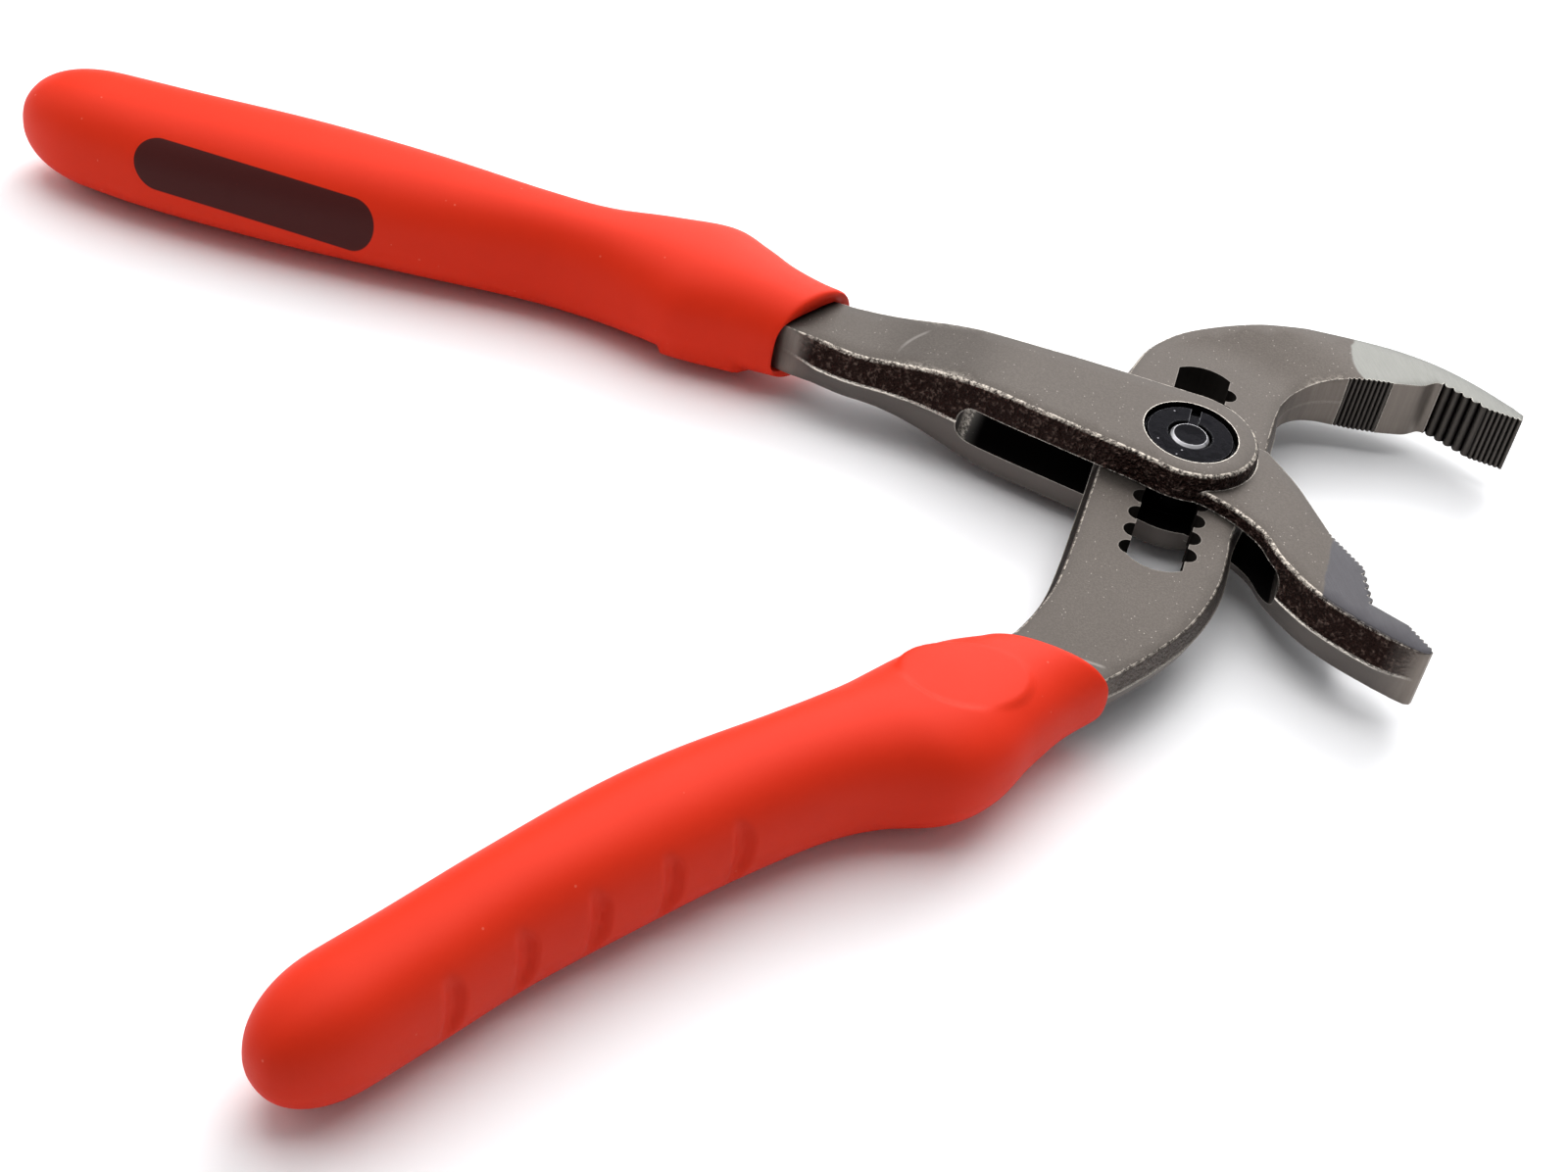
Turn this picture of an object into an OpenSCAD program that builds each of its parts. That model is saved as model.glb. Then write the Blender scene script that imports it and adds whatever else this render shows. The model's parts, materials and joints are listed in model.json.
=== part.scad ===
// Tongue and groove pliers with a box joint, shown with the jaws wide open and the barrel released.
// The design is drawn about the pivot axis: +X from the outer grip towards the jaws, +Y towards the
// upper jaw, and z = 0 on the mid-plane. rest() then moves it to the frame of the part, whose origin
// is the middle of the underside of the whole box.

/* [Box joint] */
// Overall thickness across the two cheeks of the outer lever
box_t = 15.3; // [14:0.1:20]
// Thickness of the slotted plate of the inner lever
plate_t = 6.1; // [4.5:0.1:6.9]
// Free play between the slotted plate and each cheek
plate_gap = 0.1; // [0.05:0.01:0.3]
// Radius of the round boss of each cheek
boss_r = 10.8; // [10:0.1:13]
// Reach of the gap from the pivot axis towards the grips
gap_back = 35.2; // [30:0.1:44]
// Reach of the gap from the pivot axis towards the lower jaw
gap_front = 18.6; // [18:0.1:19]
// Radius of the corners at both ends of the gap
gap_corner_r = 1.6; // [0.8:0.1:2.4]

/* [Pivot] */
// Radius of the bore in each cheek
bore_r = 7.5; // [6.8:0.05:8.5]
// Radius of the centre pin
pin_r = 3; // [2:0.1:3.4]
// Running fit of the pin and of the discs, on the radius
fit = 0.05; // [0.02:0.01:0.1]
// Depth of each disc below the face of its cheek
disc_recess = 0.5; // [0.2:0.1:1.2]
// Width of the keyway in each disc
keyway_w = 1.6; // [1:0.1:2.4]

/* [Size slot] */
// Clear width of the slot between the tips of the rack
slot_w = 8.5; // [7:0.1:10]
// Distance from one rack notch to the next
pitch = 4.3; // [3.9:0.05:5.2]
// Radius of each rounded notch
notch_r = 1.6; // [1.2:0.05:1.9]
// Top end of the slot, above the pivot axis in the drawn pose
slot_top = 24.6; // [24:0.1:26]
// Bottom end of the slot, below the pivot axis in the drawn pose
slot_bottom = 29.6; // [29:0.1:31]
// Shift of the whole rack along the slot
rack_shift = 0.7; // [0:0.05:0.9]
// Turn of the barrel from released to fully engaged, in degrees
engage_deg = 20; // [18:1:22]

/* [Jaws] */
// Thickness of both jaws
jaw_t = 10.3; // [8:0.1:13]
// Depth of the coarse teeth
coarse_depth = 0.75; // [0.3:0.05:1]
// Depth of the fine teeth
fine_depth = 0.4; // [0.2:0.05:0.5]
// Outward bulge of the forged flanks at the parting line
draft = 1.6; // [0.5:0.1:2]

/* [Handles] */
// Thickness of the shanks where they enter the grips
shank_t = 8.6; // [7:0.1:10]
// Length of the outer grip from its mouth to its tip
outer_grip_len = 136.5; // [110:0.5:165]
// Length of the inner grip from its mouth to its tip
inner_grip_len = 127; // [110:0.5:165]
// Half the thickness of a grip at its thickest place
grip_half_t = 9.6; // [8.5:0.1:12]
// Share of a grip's length that the steel tang reaches
tang_share = 0.7; // [0.4:0.05:0.8]

/* [Hidden] */

steel = [0.42, 0.40, 0.37];
black_oxide = [0.13, 0.13, 0.15];
orange = [0.92, 0.22, 0.11];

box_half = box_t / 2;
gap_half = plate_t / 2 + plate_gap;
jaw_half = jaw_t / 2;
shank_half = shank_t / 2;
facets = 72;      // sides of a drawn circle

// ---- Curves ----------------------------------------------------------------------------------

// One point of a Catmull-Rom curve, at share u of the way from b to c
function blend_point(a, b, c, d, u) =
    0.5 * (2 * b + (c - a) * u + (2 * a - 5 * b + 4 * c - d) * u * u
           + (3 * b - 3 * c + d - a) * u * u * u);

// A smooth open curve through the points, with a number of steps between each pair
function curve(p, steps = 3) =
    [for (i = [0 : len(p) - 2]) for (s = [0 : steps - 1])
        blend_point(p[max(i - 1, 0)], p[i], p[i + 1], p[min(i + 2, len(p) - 1)], s / steps),
     p[len(p) - 1]];

// A circular arc from one angle to another, ends included
function arc(centre, r, from, to, steps) =
    [for (s = [0 : steps]) let (a = from + (to - from) * s / steps)
        [centre[0] + r * cos(a), centre[1] + r * sin(a)]];

// A row of teeth from one point to another: the peaks lie on the line and the roots on its left
function teeth(from, to, count, depth) =
    let (step = (to - from) / count, side = [-step[1], step[0]] / norm(step) * depth)
    [for (i = [0 : count - 1]) for (q = [from + step * i + side, from + step * (i + 0.5)]) q];

// Mark every point of a stretch: 1 is a forged edge with draft, 0 is a machined one
function mark(p, w) = [for (q = p) [q[0], q[1], w]];

function xy(p) = [p[0], p[1]];
function unit(v) = norm(v) > 0 ? v / norm(v) : [0, 0];

// The outline moved outwards at its forged points, by an amount. It runs anticlockwise.
function grow(p, by) =
    [for (i = [0 : len(p) - 1])
        let (n = len(p), before = unit(xy(p[i]) - xy(p[(i + n - 1) % n])),
             after = unit(xy(p[(i + 1) % n]) - xy(p[i])), along = unit(before + after))
        xy(p[i]) + [along[1], -along[0]] * by * p[i][2]];

// ---- Forgings ---------------------------------------------------------------------------------

// A forged slab. Its flanks stand at the mean of the draft, between the parting line and the faces.
module forging(outline, half) {
    linear_extrude(height = 2 * half, center = true)
        polygon(grow(outline, draft / 2));
}

// ---- Outer lever ------------------------------------------------------------------------------

outer_mouth = [-61, 6];
outer_turn = 180;                        // direction of the outer handle, in degrees
outer_tang_len = outer_grip_len * tang_share;

outer_bar =
    concat(mark(arc([0, 0], boss_r, -98, 90, 22), 1),
           mark(curve([[-11, boss_r + 0.2], [-20, 11.1], [-30, 11], [-37, 12], [-43, 12.4],
                       [-50, 12], [-57, 11.2], [-66, 10.8]]), 1),
           [[-67, 9.6, 0], [-61 - outer_tang_len, 9.6, 0], [-61 - outer_tang_len, 2.5, 0],
            [-67, 0.8, 0]],
           mark(curve([[-66, -0.4], [-60, -0.9], [-54, -1.7], [-47, -1.6], [-40, -2.3], [-29, -5],
                       [-18, -7.2], [-7.5, -9.2]]), 1));

// Corners of the lower jaw: heel of the fine teeth, start of the coarse ones, vertex, toe teeth, tip
jaw_heel = [24, -11.1];
jaw_step = [30.1, -17];
jaw_vee = [32.3, -24.6];
jaw_toe = [37.9, -27.2];
jaw_tip = [41.8, -31];

outer_jaw =
    concat(mark(curve([[-3, -9.6], [1, -10.4], [5.7, -11.2], [10.3, -13.2], [14.5, -16.3],
                       [17.2, -20.2], [21, -24], [25, -27], [30, -29.5], [35.5, -31.5]]), 1),
           [[40.6, -32.5, 0.5], [jaw_tip[0], jaw_tip[1] - 0.6, 0]],
           mark(teeth(jaw_tip, jaw_toe, 6, fine_depth), 0),
           mark([jaw_toe, jaw_vee], 0),
           mark(teeth(jaw_vee, jaw_step, 5, coarse_depth), 0),
           mark(teeth(jaw_step, jaw_heel, 9, fine_depth), 0),
           mark(curve([jaw_heel, [20.4, -5.6], [17.4, -1.3], [12.4, 4.3]]), 0),
           [[9, 5, 0], [-3, 5, 0]]);

// Height of the outer lever along its length: flat cheeks, a taper, and a flat shank
taper_from = -31;
taper_to = -49;
module bar_side() {
    run = (taper_from - taper_to) / (box_half - shank_half);
    top = [[30, box_half + 1], [taper_from + run, box_half + 1], [taper_to, shank_half],
           [-300, shank_half]];
    rotate([90, 0, 0])
        linear_extrude(height = 80, center = true)
            polygon(concat(top, [for (i = [3 : -1 : 0]) [top[i][0], -top[i][1]]]));
}

// The gap of the box, right through in Y, with rounded corners
module box_gap() {
    length = gap_back + gap_front;
    rotate([90, 0, 0])
        linear_extrude(height = 80, center = true) {
            translate([-gap_back + gap_corner_r, -gap_half])
                square([length - 2 * gap_corner_r, 2 * gap_half]);
            translate([-gap_back, gap_corner_r - gap_half])
                square([length, 2 * (gap_half - gap_corner_r)]);
            for (x = [gap_corner_r - gap_back, gap_front - gap_corner_r], side = [-1, 1])
                translate([x, side * (gap_half - gap_corner_r)])
                    circle(r = gap_corner_r, $fn = facets);
        }
}

module outer_lever_drawn() {
    difference() {
        union() {
            intersection() {
                forging(outer_bar, box_half);
                bar_side();
            }
            forging(outer_jaw, jaw_half);
        }
        box_gap();
        cylinder(h = box_t + 2, r = bore_r, center = true, $fn = facets);
    }
}

// ---- Inner lever ------------------------------------------------------------------------------

inner_mouth = [-10.5, -58.8];
inner_turn = 237.2;                      // direction of the inner handle, in degrees
inner_tang_len = inner_grip_len * tang_share;

// A point beside the inner handle: along from the mouth, and aside towards the outer side
function beside(along, aside) =
    inner_mouth + along * [cos(inner_turn), sin(inner_turn)]
    + aside * [-sin(inner_turn), cos(inner_turn)];

// Corners of the upper jaw: tip, start of the coarse teeth, vertex, and both ends of the inner patch
upper_tip = [51.5, 33.3];
upper_step = [45.4, 33.7];
upper_vee = [37.7, 37];
patch_toe = [29.8, 33.1];
patch_heel = [22.7, 31.2];

inner_outline =
    concat(mark(curve([[14.3, 24.3], [16.7, 27.6], [19.5, 29.8], patch_heel]), 0.5),
           mark(teeth(patch_heel, patch_toe, 9, fine_depth), 0),
           mark([patch_toe], 0),
           mark(teeth(upper_vee, upper_step, 5, coarse_depth), 0),
           mark(teeth(upper_step, upper_tip, 7, fine_depth), 0),
           [[51.5, 35.1, 0]],
           mark(curve([[49.6, 36.4], [43, 39.9], [36, 42.5], [29, 43.3], [22, 42.9], [14, 41.9],
                       [6, 39.6], [-0.6, 36.2], [-5.8, 32.2], [-9.4, 27], [-11.3, 21], [-12, 14],
                       [-12, 2], [-12, -10], [-12.2, -21], [-12.4, -31], [-13, -40],
                       [-14.6, -47], [-16.4, -53]]), 1),
           mark([beside(4, -8), beside(inner_tang_len, -10.5), beside(inner_tang_len, -4.5),
                 beside(32, -2.5), beside(4, 5.6)], 0),
           mark(curve([[0, -53.5], [3.4, -47.7], [6.6, -41.5], [8.8, -35], [10.1, -28],
                       [10.3, -21], [10.2, -16], [11.4, -6], [12.4, 4], [12.7, 12],
                       [13, 19.8]]), 1));

// The slide lowers the upper jaw by two steps and raises it by four. The jaw is thick only outside
// a circle about the highest place of the pivot, so that it never enters the gap.
steps_down = 2;
reach_top = pitch * steps_down;
jaw_reach = 15;                          // from the boss to where the inner jaw gets thick
reach_r = boss_r + jaw_reach;
module jaw_zone() {
    linear_extrude(height = 40, center = true)
        difference() {
            translate([-40, reach_top])
                square([120, 60]);
            translate([0, reach_top])
                circle(r = reach_r, $fn = facets);
        }
}

// The rack: a slot with round ends and notches on both sides, staggered by half a pitch. An engaged
// tooth lies notch_phase below the pivot axis on the right side, and as far above it on the left.
slot_half = slot_w / 2;
slot_end_r = slot_w * 0.75;
notch_phase = pitch * 0.75;
right_notches = [-5 : 5];                // places of the notches, counted in steps from rest
left_notches = [-7 : steps_down];

function notch_y(side, step) = -side * notch_phase + rack_shift + step * pitch;

module slot_end(y) {
    intersection() {
        translate([-slot_half, y - slot_end_r])
            square([slot_w, 2 * slot_end_r]);
        translate([0, y])
            circle(r = slot_end_r, $fn = facets);
    }
}

module rack_slot() {
    linear_extrude(height = 40, center = true) {
        slot_end(slot_top - slot_end_r);
        slot_end(slot_end_r - slot_bottom);
        translate([-slot_half, slot_end_r - slot_bottom])
            square([slot_w, slot_top + slot_bottom - 2 * slot_end_r]);
        for (step = right_notches)
            translate([slot_half, notch_y(1, step)])
                circle(r = notch_r, $fn = facets);
        for (step = left_notches)
            translate([-slot_half, notch_y(-1, step)])
                circle(r = notch_r, $fn = facets);
    }
}

module inner_lever_drawn() {
    difference() {
        union() {
            forging(inner_outline, plate_t / 2);
            intersection() {
                forging(inner_outline, jaw_half);
                jaw_zone();
            }
        }
        rack_slot();
    }
}

// ---- Grips ------------------------------------------------------------------------------------

// Stations of each grip: place along it as a share of its length, reach towards the inner side,
// reach towards the outer side, and thickness as a share of the thickest place
outer_stations = [
    [0.00,  7.0,  8.2, 0.78], [0.03,  7.2,  8.6, 0.82], [0.07,  7.8, 10.2, 0.88],
    [0.11,  8.4, 13.2, 0.93], [0.155, 8.7, 16.1, 0.96], [0.21,  7.2, 13.6, 0.97],
    [0.28,  5.6,  9.8, 0.96], [0.36,  5.8,  9.3, 0.96], [0.50,  8.9, 10.7, 0.98],
    [0.65, 11.4, 10.4, 1.00], [0.80, 12.6,  8.4, 0.98], [0.90, 11.4,  6.9, 0.94],
    [1.00,  9.0,  4.5, 0.86]];
inner_stations = [
    [0.00, 10.4,  7.0, 0.78], [0.05, 12.9,  7.3, 0.84], [0.11, 13.6,  8.9, 0.92],
    [0.165, 13.6, 10.8, 0.96], [0.21, 13.5, 10.2, 0.97], [0.26, 13.6,  5.9, 0.96],
    [0.33, 14.3,  3.0, 0.96], [0.45, 16.1,  1.4, 0.97], [0.56, 16.4,  0.8, 0.99],
    [0.70, 15.2,  0.4, 1.00], [0.82, 14.0,  1.4, 0.98], [0.92, 12.8,  2.0, 0.94],
    [1.00, 11.0,  1.6, 0.88]];

section_power = 2.3;                     // roundness of a grip's section: 2 is an ellipse
ring_points = 28;
tip_share = 0.12;                        // share of the length that rounds off into the tip

function power(v, e) = sign(v) * pow(abs(v), e);

// One ring of a grip in its own frame: x along it, y towards its outer side
function grip_ring(station, length) =
    let (c = (station[2] - station[1]) / 2, w = (station[2] + station[1]) / 2,
         h = grip_half_t * station[3], s = station[0],
         into_tip = max(0, (s - 1 + tip_share) / tip_share),
         shrink = sqrt(max(0.0004, 1 - into_tip * into_tip)),
         slant = 0.45 * max(0, 1 - s * 4))
    [for (i = [0 : ring_points - 1]) let (a = 360 * i / ring_points,
         y = c + w * shrink * power(cos(a), 2 / section_power))
        [s * length - slant * y, y, h * shrink * power(sin(a), 2 / section_power)]];

module grip_body(stations, length) {
    sides = curve(stations, 3);
    kept = [for (s = sides) if (s[0] < 1 - tip_share) s];
    tip = [for (k = [0 : 6]) let (s = 1 - tip_share * (1 - sin(90 * k / 6)),
                                  a = stations[len(stations) - 2], b = stations[len(stations) - 1],
                                  u = (s - a[0]) / (b[0] - a[0]))
               [s, a[1] + (b[1] - a[1]) * u, a[2] + (b[2] - a[2]) * u, a[3] + (b[3] - a[3]) * u]];
    rings = [for (s = concat(kept, tip)) grip_ring(s, length)];
    n = ring_points;
    last = len(rings) - 1;
    polyhedron(
        points = [for (ring = rings) each ring],
        faces = [[for (i = [n - 1 : -1 : 0]) i],
                 for (k = [0 : last - 1]) for (i = [0 : n - 1]) let (j = (i + 1) % n)
                     each [[k * n + i, k * n + j, (k + 1) * n + j],
                           [k * n + i, (k + 1) * n + j, (k + 1) * n + i]],
                 [for (i = [0 : n - 1]) last * n + i]],
        convexity = 6);
}

// ---- Pivot ------------------------------------------------------------------------------------

disc_out = box_half - disc_recess;       // outer face of each disc
disc_in = gap_half + 0.1;                // inner face of each disc
rim_drop = 0.9;                          // how far below its face the rim of a disc steps in
rim_step = 0.55;                         // and by how much
disc_step = disc_out - rim_drop;
overlap = 0.1;                           // how far two welded bodies reach into each other
head_over = 0.5;                         // how far the pin's head stands out over the pin
head_r = pin_r + head_over;
head_t = 1.2;
head_chamfer = [0.4, 0.3];               // inwards and down
tab_wall = [0.8, 1.2];                   // from the pin to the driving tab, and from the tab to the bore
tab_r = [pin_r + tab_wall[0], bore_r - tab_wall[1]];

module disc_drawn() {
    difference() {
        union() {
            translate([0, 0, disc_in])
                cylinder(h = disc_step - disc_in, r = bore_r - fit, $fn = facets);
            translate([0, 0, disc_step - overlap])
                cylinder(h = rim_drop + overlap, r = bore_r - rim_step, $fn = facets);
        }
        translate([0, 0, disc_in - 1])
            cylinder(h = box_t, r = pin_r + fit, $fn = facets);
        translate([0, 0, disc_out - head_t - fit])
            cylinder(h = head_t + 1, r = head_r + fit, $fn = facets);
        translate([-keyway_w / 2, head_r + overlap, disc_in - 1])
            cube([keyway_w, bore_r, box_t]);
    }
}

module pin_drawn() {
    cylinder(h = 2 * disc_out - head_t, r = pin_r, center = true, $fn = facets);
    for (side = [0, 1])
        mirror([0, 0, side])
            translate([0, 0, disc_out - head_t]) {
                cylinder(h = head_t - head_chamfer[1], r = head_r, $fn = facets);
                translate([0, 0, head_t - head_chamfer[1]])
                    cylinder(h = head_chamfer[1], r1 = head_r, r2 = head_r - head_chamfer[0], $fn = facets);
            }
}

// The barrel: its flats clear the slot when released, and one tooth on each side swings into a
// notch as it turns. Each tooth stays a little nearer to the middle than its notch.
flat_gap = 0.2;                          // between a flat and the slot
tooth_gap = 0.1;                         // between a released tooth and the slot
tooth_lag = 0.25;                        // how much nearer to the middle a tooth is than its notch
barrel_inset = 1.4;                      // from the bore to the barrel
barrel_half = slot_half - flat_gap;
barrel_r = bore_r - barrel_inset;
tooth_r = 0.7;
released_x = slot_half - tooth_gap - tooth_r;

function tooth_y(side) = notch_y(side, 0) + side * tooth_lag;
function tooth_x(side) = (released_x + abs(tooth_y(side)) * sin(engage_deg)) / cos(engage_deg);

module barrel_tooth(side) {
    reach = tooth_x(side) - 1;
    translate([side > 0 ? 1 : -1 - reach, tooth_y(side) - tooth_r, -gap_half])
        cube([reach, 2 * tooth_r, 2 * gap_half]);
    translate([side * tooth_x(side), tooth_y(side), -gap_half])
        cylinder(h = 2 * gap_half, r = tooth_r, $fn = 36);
}

module barrel_drawn() {
    difference() {
        union() {
            intersection() {
                cylinder(h = 2 * gap_half, r = barrel_r, center = true, $fn = facets);
                cube([2 * barrel_half, 40, box_t], center = true);
                rotate(-engage_deg)
                    cube([2 * barrel_half, 40, box_t], center = true);
            }
            rotate(-engage_deg) {
                barrel_tooth(1);
                barrel_tooth(-1);
            }
            translate([-keyway_w / 2 + fit, tab_r[0], -disc_step])
                cube([keyway_w - 2 * fit, tab_r[1] - tab_r[0], 2 * disc_step]);
        }
        cylinder(h = box_t, r = pin_r + fit, center = true, $fn = facets);
    }
}

// ---- Placing ----------------------------------------------------------------------------------

// Corners of the whole box, from the outlines and from the rings of both grips
function placed(p, mouth, turn) =
    [mouth[0] + p[0] * cos(turn) - p[1] * sin(turn), mouth[1] + p[0] * sin(turn) + p[1] * cos(turn)];
inner_edge = [for (s = curve(inner_stations, 3)) each
                 [for (q = grip_ring(s, inner_grip_len)) placed(q, inner_mouth, inner_turn)]];
whole = concat(grow(inner_outline, draft / 2), inner_edge,
               [outer_mouth + [-outer_grip_len, 0]]);
low = [min([for (q = whole) q[0]]), min([for (q = whole) q[1]])];
high = [max([for (q = whole) q[0]]), max([for (q = whole) q[1]])];

module rest() {
    translate([-(low[0] + high[0]) / 2, -(low[1] + high[1]) / 2, grip_half_t])
        children();
}

module outer_lever() {
    color(steel)
        rest() outer_lever_drawn();
}

module inner_lever() {
    color(steel)
        rest() inner_lever_drawn();
}

module outer_grip() {
    color(orange)
        rest()
            difference() {
                translate(outer_mouth)
                    rotate(outer_turn)
                        mirror([0, 1, 0])
                            grip_body(outer_stations, outer_grip_len);
                outer_lever_drawn();
            }
}

module inner_grip() {
    color(orange)
        rest()
            difference() {
                translate(inner_mouth)
                    rotate(inner_turn)
                        grip_body(inner_stations, inner_grip_len);
                inner_lever_drawn();
            }
}

module pivot_pin() {
    color(black_oxide)
        rest() pin_drawn();
}

module toothed_barrel() {
    color(black_oxide)
        rest() barrel_drawn();
}

module front_disc() {
    color(black_oxide)
        rest() disc_drawn();
}

module rear_disc() {
    color(black_oxide)
        rest() mirror([0, 0, 1]) disc_drawn();
}

outer_lever();
outer_grip();
pivot_pin();
toothed_barrel();
front_disc();
rear_disc();
inner_lever();
inner_grip();
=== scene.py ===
# %% [markdown]
# # Tongue and groove pliers
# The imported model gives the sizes, places and joints. This file makes the looks around it: two forged
# levers, two moulded grips and the small turned parts of the pivot. Every size below is in millimetres
# about the pivot axis, as a toolmaker draws it, and one function turns it into metres in the frame of the
# part.

# %% Load the frame
import json
import math
import bmesh
import bpy
import numpy as np
from mathutils import Matrix, Vector
from mathutils.geometry import delaunay_2d_cdt


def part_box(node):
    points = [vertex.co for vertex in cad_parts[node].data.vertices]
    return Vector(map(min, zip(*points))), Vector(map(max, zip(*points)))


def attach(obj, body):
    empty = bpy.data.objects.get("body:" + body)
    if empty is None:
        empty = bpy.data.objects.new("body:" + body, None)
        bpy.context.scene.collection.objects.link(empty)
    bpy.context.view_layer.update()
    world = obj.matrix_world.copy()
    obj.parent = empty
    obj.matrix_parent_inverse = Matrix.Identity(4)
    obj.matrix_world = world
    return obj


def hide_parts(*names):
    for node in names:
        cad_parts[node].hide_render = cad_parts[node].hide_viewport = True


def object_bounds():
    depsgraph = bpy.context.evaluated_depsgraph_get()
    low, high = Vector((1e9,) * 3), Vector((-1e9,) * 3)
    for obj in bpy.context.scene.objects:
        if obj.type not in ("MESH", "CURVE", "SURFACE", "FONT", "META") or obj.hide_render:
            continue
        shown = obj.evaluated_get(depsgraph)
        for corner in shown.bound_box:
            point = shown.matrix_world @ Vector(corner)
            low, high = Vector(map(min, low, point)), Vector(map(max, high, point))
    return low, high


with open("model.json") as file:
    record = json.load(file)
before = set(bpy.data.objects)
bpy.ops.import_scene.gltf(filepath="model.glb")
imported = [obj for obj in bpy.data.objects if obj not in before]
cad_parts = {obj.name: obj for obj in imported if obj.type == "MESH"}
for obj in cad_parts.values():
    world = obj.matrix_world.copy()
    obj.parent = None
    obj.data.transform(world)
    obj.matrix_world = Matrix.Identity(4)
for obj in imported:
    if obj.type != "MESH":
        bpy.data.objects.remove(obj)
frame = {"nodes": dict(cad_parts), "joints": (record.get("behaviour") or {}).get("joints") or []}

cad_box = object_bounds()
print("CAD box, metres:", [[round(v, 4) for v in corner] for corner in cad_box])

# %% [markdown]
# The hinge of the jaws is the natural origin of the tool, so it is read from the frame. The mid-plane of
# the tool is at the hinge's height. The thicknesses come from the boxes of the CAD nodes.

# %% Sizes from the frame
hinge = next(j for j in frame["joints"] if j["name"] == "jaw_hinge")
PIVOT = np.array(hinge["pos_m"])


def height_above_middle(node):
    """The top of a CAD node above the mid-plane, in millimetres."""
    return (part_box(node)[1].z - PIVOT[2]) * 1000


def to_frame(points):
    """Points in millimetres about the pivot, as an array of metres in the frame of the part."""
    return np.asarray(points, float) / 1000 + PIVOT


BOX_HALF, JAW_HALF, DISC_TOP, GRIP_HALF = map(
    height_above_middle, ("outer_lever", "inner_lever", "front_disc", "outer_grip"))
PLATE_HALF, GAP_HALF, SHANK_HALF = 3.05, 3.15, 4.3
BORE_R, BOSS_R, DRAFT = 7.5, 10.8, 1.5
SHARP_STEEL, SHARP_PLASTIC, SHARP_TURNED = 32, 50, 25
print(f"cheeks {BOX_HALF:.2f}, jaws {JAW_HALF:.2f}, discs {DISC_TOP:.2f}, grips {GRIP_HALF:.2f} mm")

# %% [markdown]
# ## Camera and studio
# The tool lies on a white table and is seen from its near side, from about forty degrees above the table.
# The camera is rolled a little, so that the handles fan out across the view.

# %% Helpers for objects and nodes
def link(name, data):
    """An object for a mesh, a camera or a lamp, at the origin and in the scene."""
    piece = bpy.data.objects.new(name, data)
    bpy.context.scene.collection.objects.link(piece)
    return piece


def plain_mesh(name, points, faces):
    """A mesh of points in metres and faces that list them."""
    mesh = bpy.data.meshes.new(name)
    mesh.from_pydata([tuple(p) for p in points], [], faces)
    mesh.update()
    return mesh


def fresh(name):
    """A material with only a Principled shader, its tree and that shader."""
    made = bpy.data.materials.new(name)
    made.use_nodes = True
    return made, made.node_tree, made.node_tree.nodes["Principled BSDF"]


def feed(tree, socket, value):
    """Link an output to a socket, or set the socket's value."""
    if isinstance(value, bpy.types.NodeSocket):
        tree.links.new(value, socket)
    else:
        socket.default_value = value


def node(tree, kind, inputs=None, **settings):
    """A shader node with its settings, and a value or a link on each named or numbered input."""
    made = tree.nodes.new("ShaderNode" + kind)
    for key, value in settings.items():
        setattr(made, key, value)
    for key, value in (inputs or {}).items():
        feed(tree, made.inputs[key], value)
    return made

# %% Camera
CAMERA_AT = (-13.2, -337.8, 245.45)
CAMERA_TILT, CAMERA_YAW, CAMERA_ROLL = (math.radians(a) for a in (-40.667, 7.312, 12.605))
LENS = 60.75

ahead = math.cos(CAMERA_TILT)
forward = Vector((-math.sin(CAMERA_YAW) * ahead, math.cos(CAMERA_YAW) * ahead, math.sin(CAMERA_TILT)))
level = forward.cross(Vector((0, 0, 1))).normalized()
above = level.cross(forward)
right = math.cos(CAMERA_ROLL) * level + math.sin(CAMERA_ROLL) * above
up = right.cross(forward)

camera_data = bpy.data.cameras.new("camera")
camera_data.lens = LENS
camera_data.sensor_width = 36
camera_data.clip_start = 0.01
camera = link("camera", camera_data)
turn = Matrix((right, up, -forward)).transposed().to_4x4()
camera.matrix_world = Matrix.Translation(Vector(to_frame(CAMERA_AT))) @ turn
bpy.context.scene.camera = camera
print("camera is", round((camera.location - Vector(PIVOT)).length, 3), "m from the pivot")


# %% Table
TABLE_HALF = 6.0
TABLE_DROP = 0.0002
corners = [(x * TABLE_HALF, y * TABLE_HALF, 0) for x, y in ((-1, -1), (1, -1), (1, 1), (-1, 1))]
table = link("table", plain_mesh("table", corners, [(0, 1, 2, 3)]))
table.location.z = cad_box[0][2] - TABLE_DROP
white, _, white_shader = fresh("white_table")
white_shader.inputs["Base Color"].default_value = (0.93, 0.93, 0.94, 1)
white_shader.inputs["Roughness"].default_value = 0.9
table.data.materials.append(white)


# %% Lights
def area_light(name, at, aim, size, watts):
    """A soft square lamp at a place, aimed at another, both in millimetres about the pivot."""
    data = bpy.data.lights.new(name, "AREA")
    data.shape = "SQUARE"
    data.size = size
    data.energy = watts
    lamp = link(name, data)
    lamp.location = to_frame(at)
    lamp.rotation_euler = (Vector(to_frame(aim)) - lamp.location).to_track_quat("-Z", "Y").to_euler()


bpy.context.scene.view_settings.view_transform = "Standard"
area_light("top_light", (-140, 280, 900), (-40, -20, 0), 1.15, 11.4)
area_light("back_light", (20, 700, 420), (-40, 0, 0), 0.6, 5.5)
area_light("left_light", (-750, -50, 450), (-60, -40, 0), 0.6, 1.2)
print("lights:", len(bpy.data.lights))

# %% [markdown]
# Metal shows what stands round it. The room is bright behind and above the tool and dim in front of it,
# which turns the near flanks of the levers dark, so the world is a soft gradient from front to back.

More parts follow.
